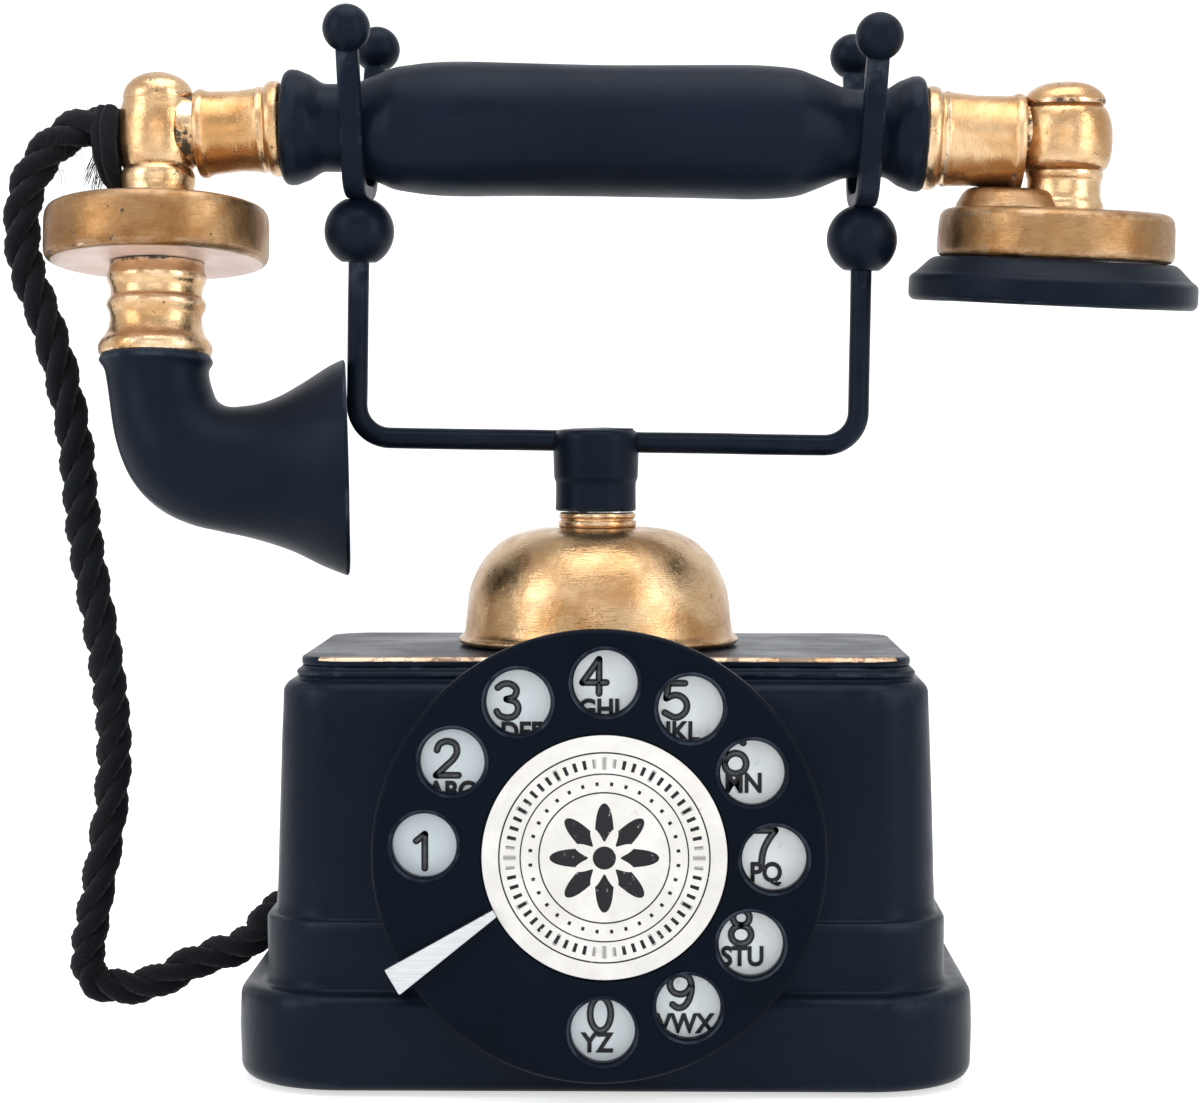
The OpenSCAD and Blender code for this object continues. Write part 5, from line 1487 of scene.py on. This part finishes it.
    def receiver(self):
        u = sizes().hand_wobble * 1.8
        R, z0, z1 = CASE_R, CASE_Z, CASE_TOP
        rows = [
            (0, z1), (R - 3.4, z1), (R - 1.4, z1 - 0.35), (R - 0.4, z1 - 1.3), (R - 0.1, z1 - 3), (R, z0 + 4),
            (R + 0.1, z0 + 1.6), (R - 0.3, z0 + 0.5), (R - 1, z0), (R - 3.4, z0), (R - 3.4, z1 - 3), (0, z1 - 3),
        ]
        bm = turned(soften(rows, 1.0, 5), HANGING @ at(RX, 0, 0), 128, u, 41)
        lug = [(0, -1.5), (11.8, -1.5), (11.5, 0.4), (10.2, 2.8), (9.2, 3.8), (7.6, 4.3), (0, 4.5)]
        lug = soften([(r, z1 + z) for r, z in lug], 0.6, 3)
        merge_in(bm, turned(lug, HANGING @ at(RX - 9.6, 0, 0), 96, u * 1.6, 43))
        finish_mesh("ear_case", bm, "disc", "handset", "receiver_case", sharp=50)
        C, c0 = CAP_R - 0.6, CAP_Z + 0.8
        rows = [(2.6, c0 + 6), (2.6, c0 + 1.9), (3.1, c0 + 1.65), (8, c0 + 1.4), (C - 11, c0 + 0.4), (C - 5, c0 + 0.05)]
        rows += arc(C - 1.6, c0 + 1.6, 1.6, -80, 0, 8)
        rows += [(C, c0 + 4.2), (C - 0.1, c0 + 4.9), (C - 0.6, c0 + 5.5), (C - 1.3, c0 + 5.9)]
        rows += [(CASE_R + 1.3, CASE_Z - 0.7), (CASE_R + 0.3, CASE_Z - 0.1), (CASE_R - 4, CASE_Z - 0.02)]
        rows.append((CASE_R - 4, c0 + 5))
        bm = turned(soften(rows, 0.5, 4), HANGING @ at(RX, 0, 0), 128, u * 1.2, 42)
        finish_mesh("ear_cap", bm, "horn", "handset", "receiver_cap", sharp=50)

    def transmitter(self):
        u = sizes().hand_wobble * 1.8
        R, T = DISC_R, DISC_T
        rows = [
            (0, 0.35), (9, 0.3), (R - 2.6, 0.0), (R - 1.0, 0.35), (R - 0.25, 1.2), (R, 2.4), (R, T - 3.2),
            (R - 0.2, T - 1.6), (R - 0.9, T - 0.5), (R - 2.4, T), (0, T),
        ]
        bm = turned(soften(rows, 0.9, 5), TIPPED @ at(TX, 0, DISC_Z), 128, u, 51)
        finish_mesh("mouth_disc", bm, "disc", "handset", "transmitter_disc", sharp=50)
        h = DISC_Z - HORN_Z
        rows = [
            (8.6, 0), (11.1, 0), (11.7, 0.04), (11.75, 0.1), (11.2, 0.16), (10.4, 0.21), (9.8, 0.28), (9.45, 0.36),
            (9.5, 0.44), (9.95, 0.5), (10.25, 0.55), (10.0, 0.6), (9.5, 0.63), (9.4, 0.69), (9.6, 0.75), (10.1, 0.8),
            (10.25, 0.86), (9.9, 0.91), (9.75, 1.0), (6, 1.0), (6, 0.7), (8.6, 0.5),
        ]
        rows = [(r, z * h) for r, z in rows]
        bm = turned(smooth_curve(rows[:19], 3) + rows[19:], TIPPED @ at(TX, 0, HORN_Z), 96, u, 52)
        finish_mesh("fluted_neck", bm, "elbow", "handset", "transmitter_neck", sharp=50)

    def horn(self):
        rows = [
            (0, 0, 0, 11.3), (0.2, -3, 0, 10.8), (1, -8, 8, 10.7), (2.3, -14, 26, 11.3), (4.6, -18.6, 42, 12.3),
            (8, -21.6, 55, 13.0), (12.4, -23.2, 66, 13.5), (17.4, -23.8, 74, 14.0), (22.6, -23.8, 80, 15.2),
            (28.9, -23.6, 86, 17.7), (34.6, -23.8, 90, 20.8), (38.4, -24, 92, 22.5),
        ]
        rows = [(x + 1.1 * t, z + 1.2 * t, turn, r) for (x, z, turn, r), t in zip(rows, [i / 11 for i in range(12)])]
        fine = smooth_curve(rows, 6)
        u = sizes().hand_wobble * 1.5
        place = TIPPED @ turned_about(TX, 0, 6.5, "Z")
        rings = []

        def ring(row, d, lift=0.0):
            x, z, turn, r = row
            c, s = math.cos(math.radians(turn)), math.sin(math.radians(turn))
            middle = Vector((TX + x + lift * s, 0, HORN_Z + z - lift * c))
            points = ring_about(middle, Vector((c, 0, s)), Vector((0, 1, 0)), 96, lambda a: r - d)
            return [wobble(place @ p, u, 0.05, 61) for p in points]

        for i, row in enumerate(fine):
            lip = 0.8 * math.exp(-((i - 3) ** 2) / 4.0) if i < 12 else 0.0
            rings.append(ring(row, -lip))
        last = fine[-1]
        for a in [math.radians(d) for d in range(15, 180, 15)]:
            rings.append(ring(last, 0.85 - 0.85 * math.cos(a), 0.55 * math.sin(a)))
        for row in reversed(fine):
            rings.append(ring(row, 1.7))
        bm = bmesh.new()
        skin(bm, rings, loop_rings=True)
        finish_mesh("speaking_horn", outwards(bm), "horn", "handset", "mouthpiece_horn", sharp=50)


class TELEPHONE_OT_insides(bpy.types.Operator):
    """Finishes of the pieces inside and under the telephone"""

    bl_idname = "telephone.insides"
    bl_label = "Inner pieces"

    def execute(self, context):
        roles = {
            "bush": "rubber", "gilt": "elbow", "black": "casing", "bright_steel": "stop", "ebonite": "grip",
            "label": "card", "cord": "rope",
        }
        for node, ob in frame["nodes"].items():
            slot = SLOT_OF[node]
            ob.data.materials.clear()
            ob.data.materials.append(FINISHES[roles.get(slot, slot)])
        return {"FINISHED"}


# ------------------------------------------------------------------- panel
STEPS = ("stage", "cord", "casing", "gong", "dial", "cradle", "handset", "insides")


class TELEPHONE_PT_panel(bpy.types.Panel):
    """The telephone's pieces and values"""

    bl_idname = "TELEPHONE_PT_panel"
    bl_label = "Cradle telephone"
    bl_space_type = "VIEW_3D"
    bl_region_type = "UI"
    bl_category = "Telephone"

    def draw(self, context):
        col = self.layout.column()
        for group in (context.scene.telephone_sizes, context.scene.telephone_colours):
            for name in group.__annotations__:
                col.prop(group, name)
        for step in STEPS:
            col.operator("telephone." + step)


CLASSES = (
    TelephoneSizes, TelephoneColours, TELEPHONE_OT_stage, TELEPHONE_OT_cord, TELEPHONE_OT_casing, TELEPHONE_OT_gong,
    TELEPHONE_OT_dial, TELEPHONE_OT_cradle, TELEPHONE_OT_handset, TELEPHONE_OT_insides, TELEPHONE_PT_panel,
)


def register():
    for c in CLASSES:
        bpy.utils.register_class(c)
    bpy.types.Scene.telephone_sizes = bpy.props.PointerProperty(type=TelephoneSizes)
    bpy.types.Scene.telephone_colours = bpy.props.PointerProperty(type=TelephoneColours)


def unregister():
    del bpy.types.Scene.telephone_colours
    del bpy.types.Scene.telephone_sizes
    for c in reversed(CLASSES):
        bpy.utils.unregister_class(c)


def main():
    register()
    for step in STEPS:
        getattr(bpy.ops.telephone, step)()


if __name__ == "__main__":
    main()
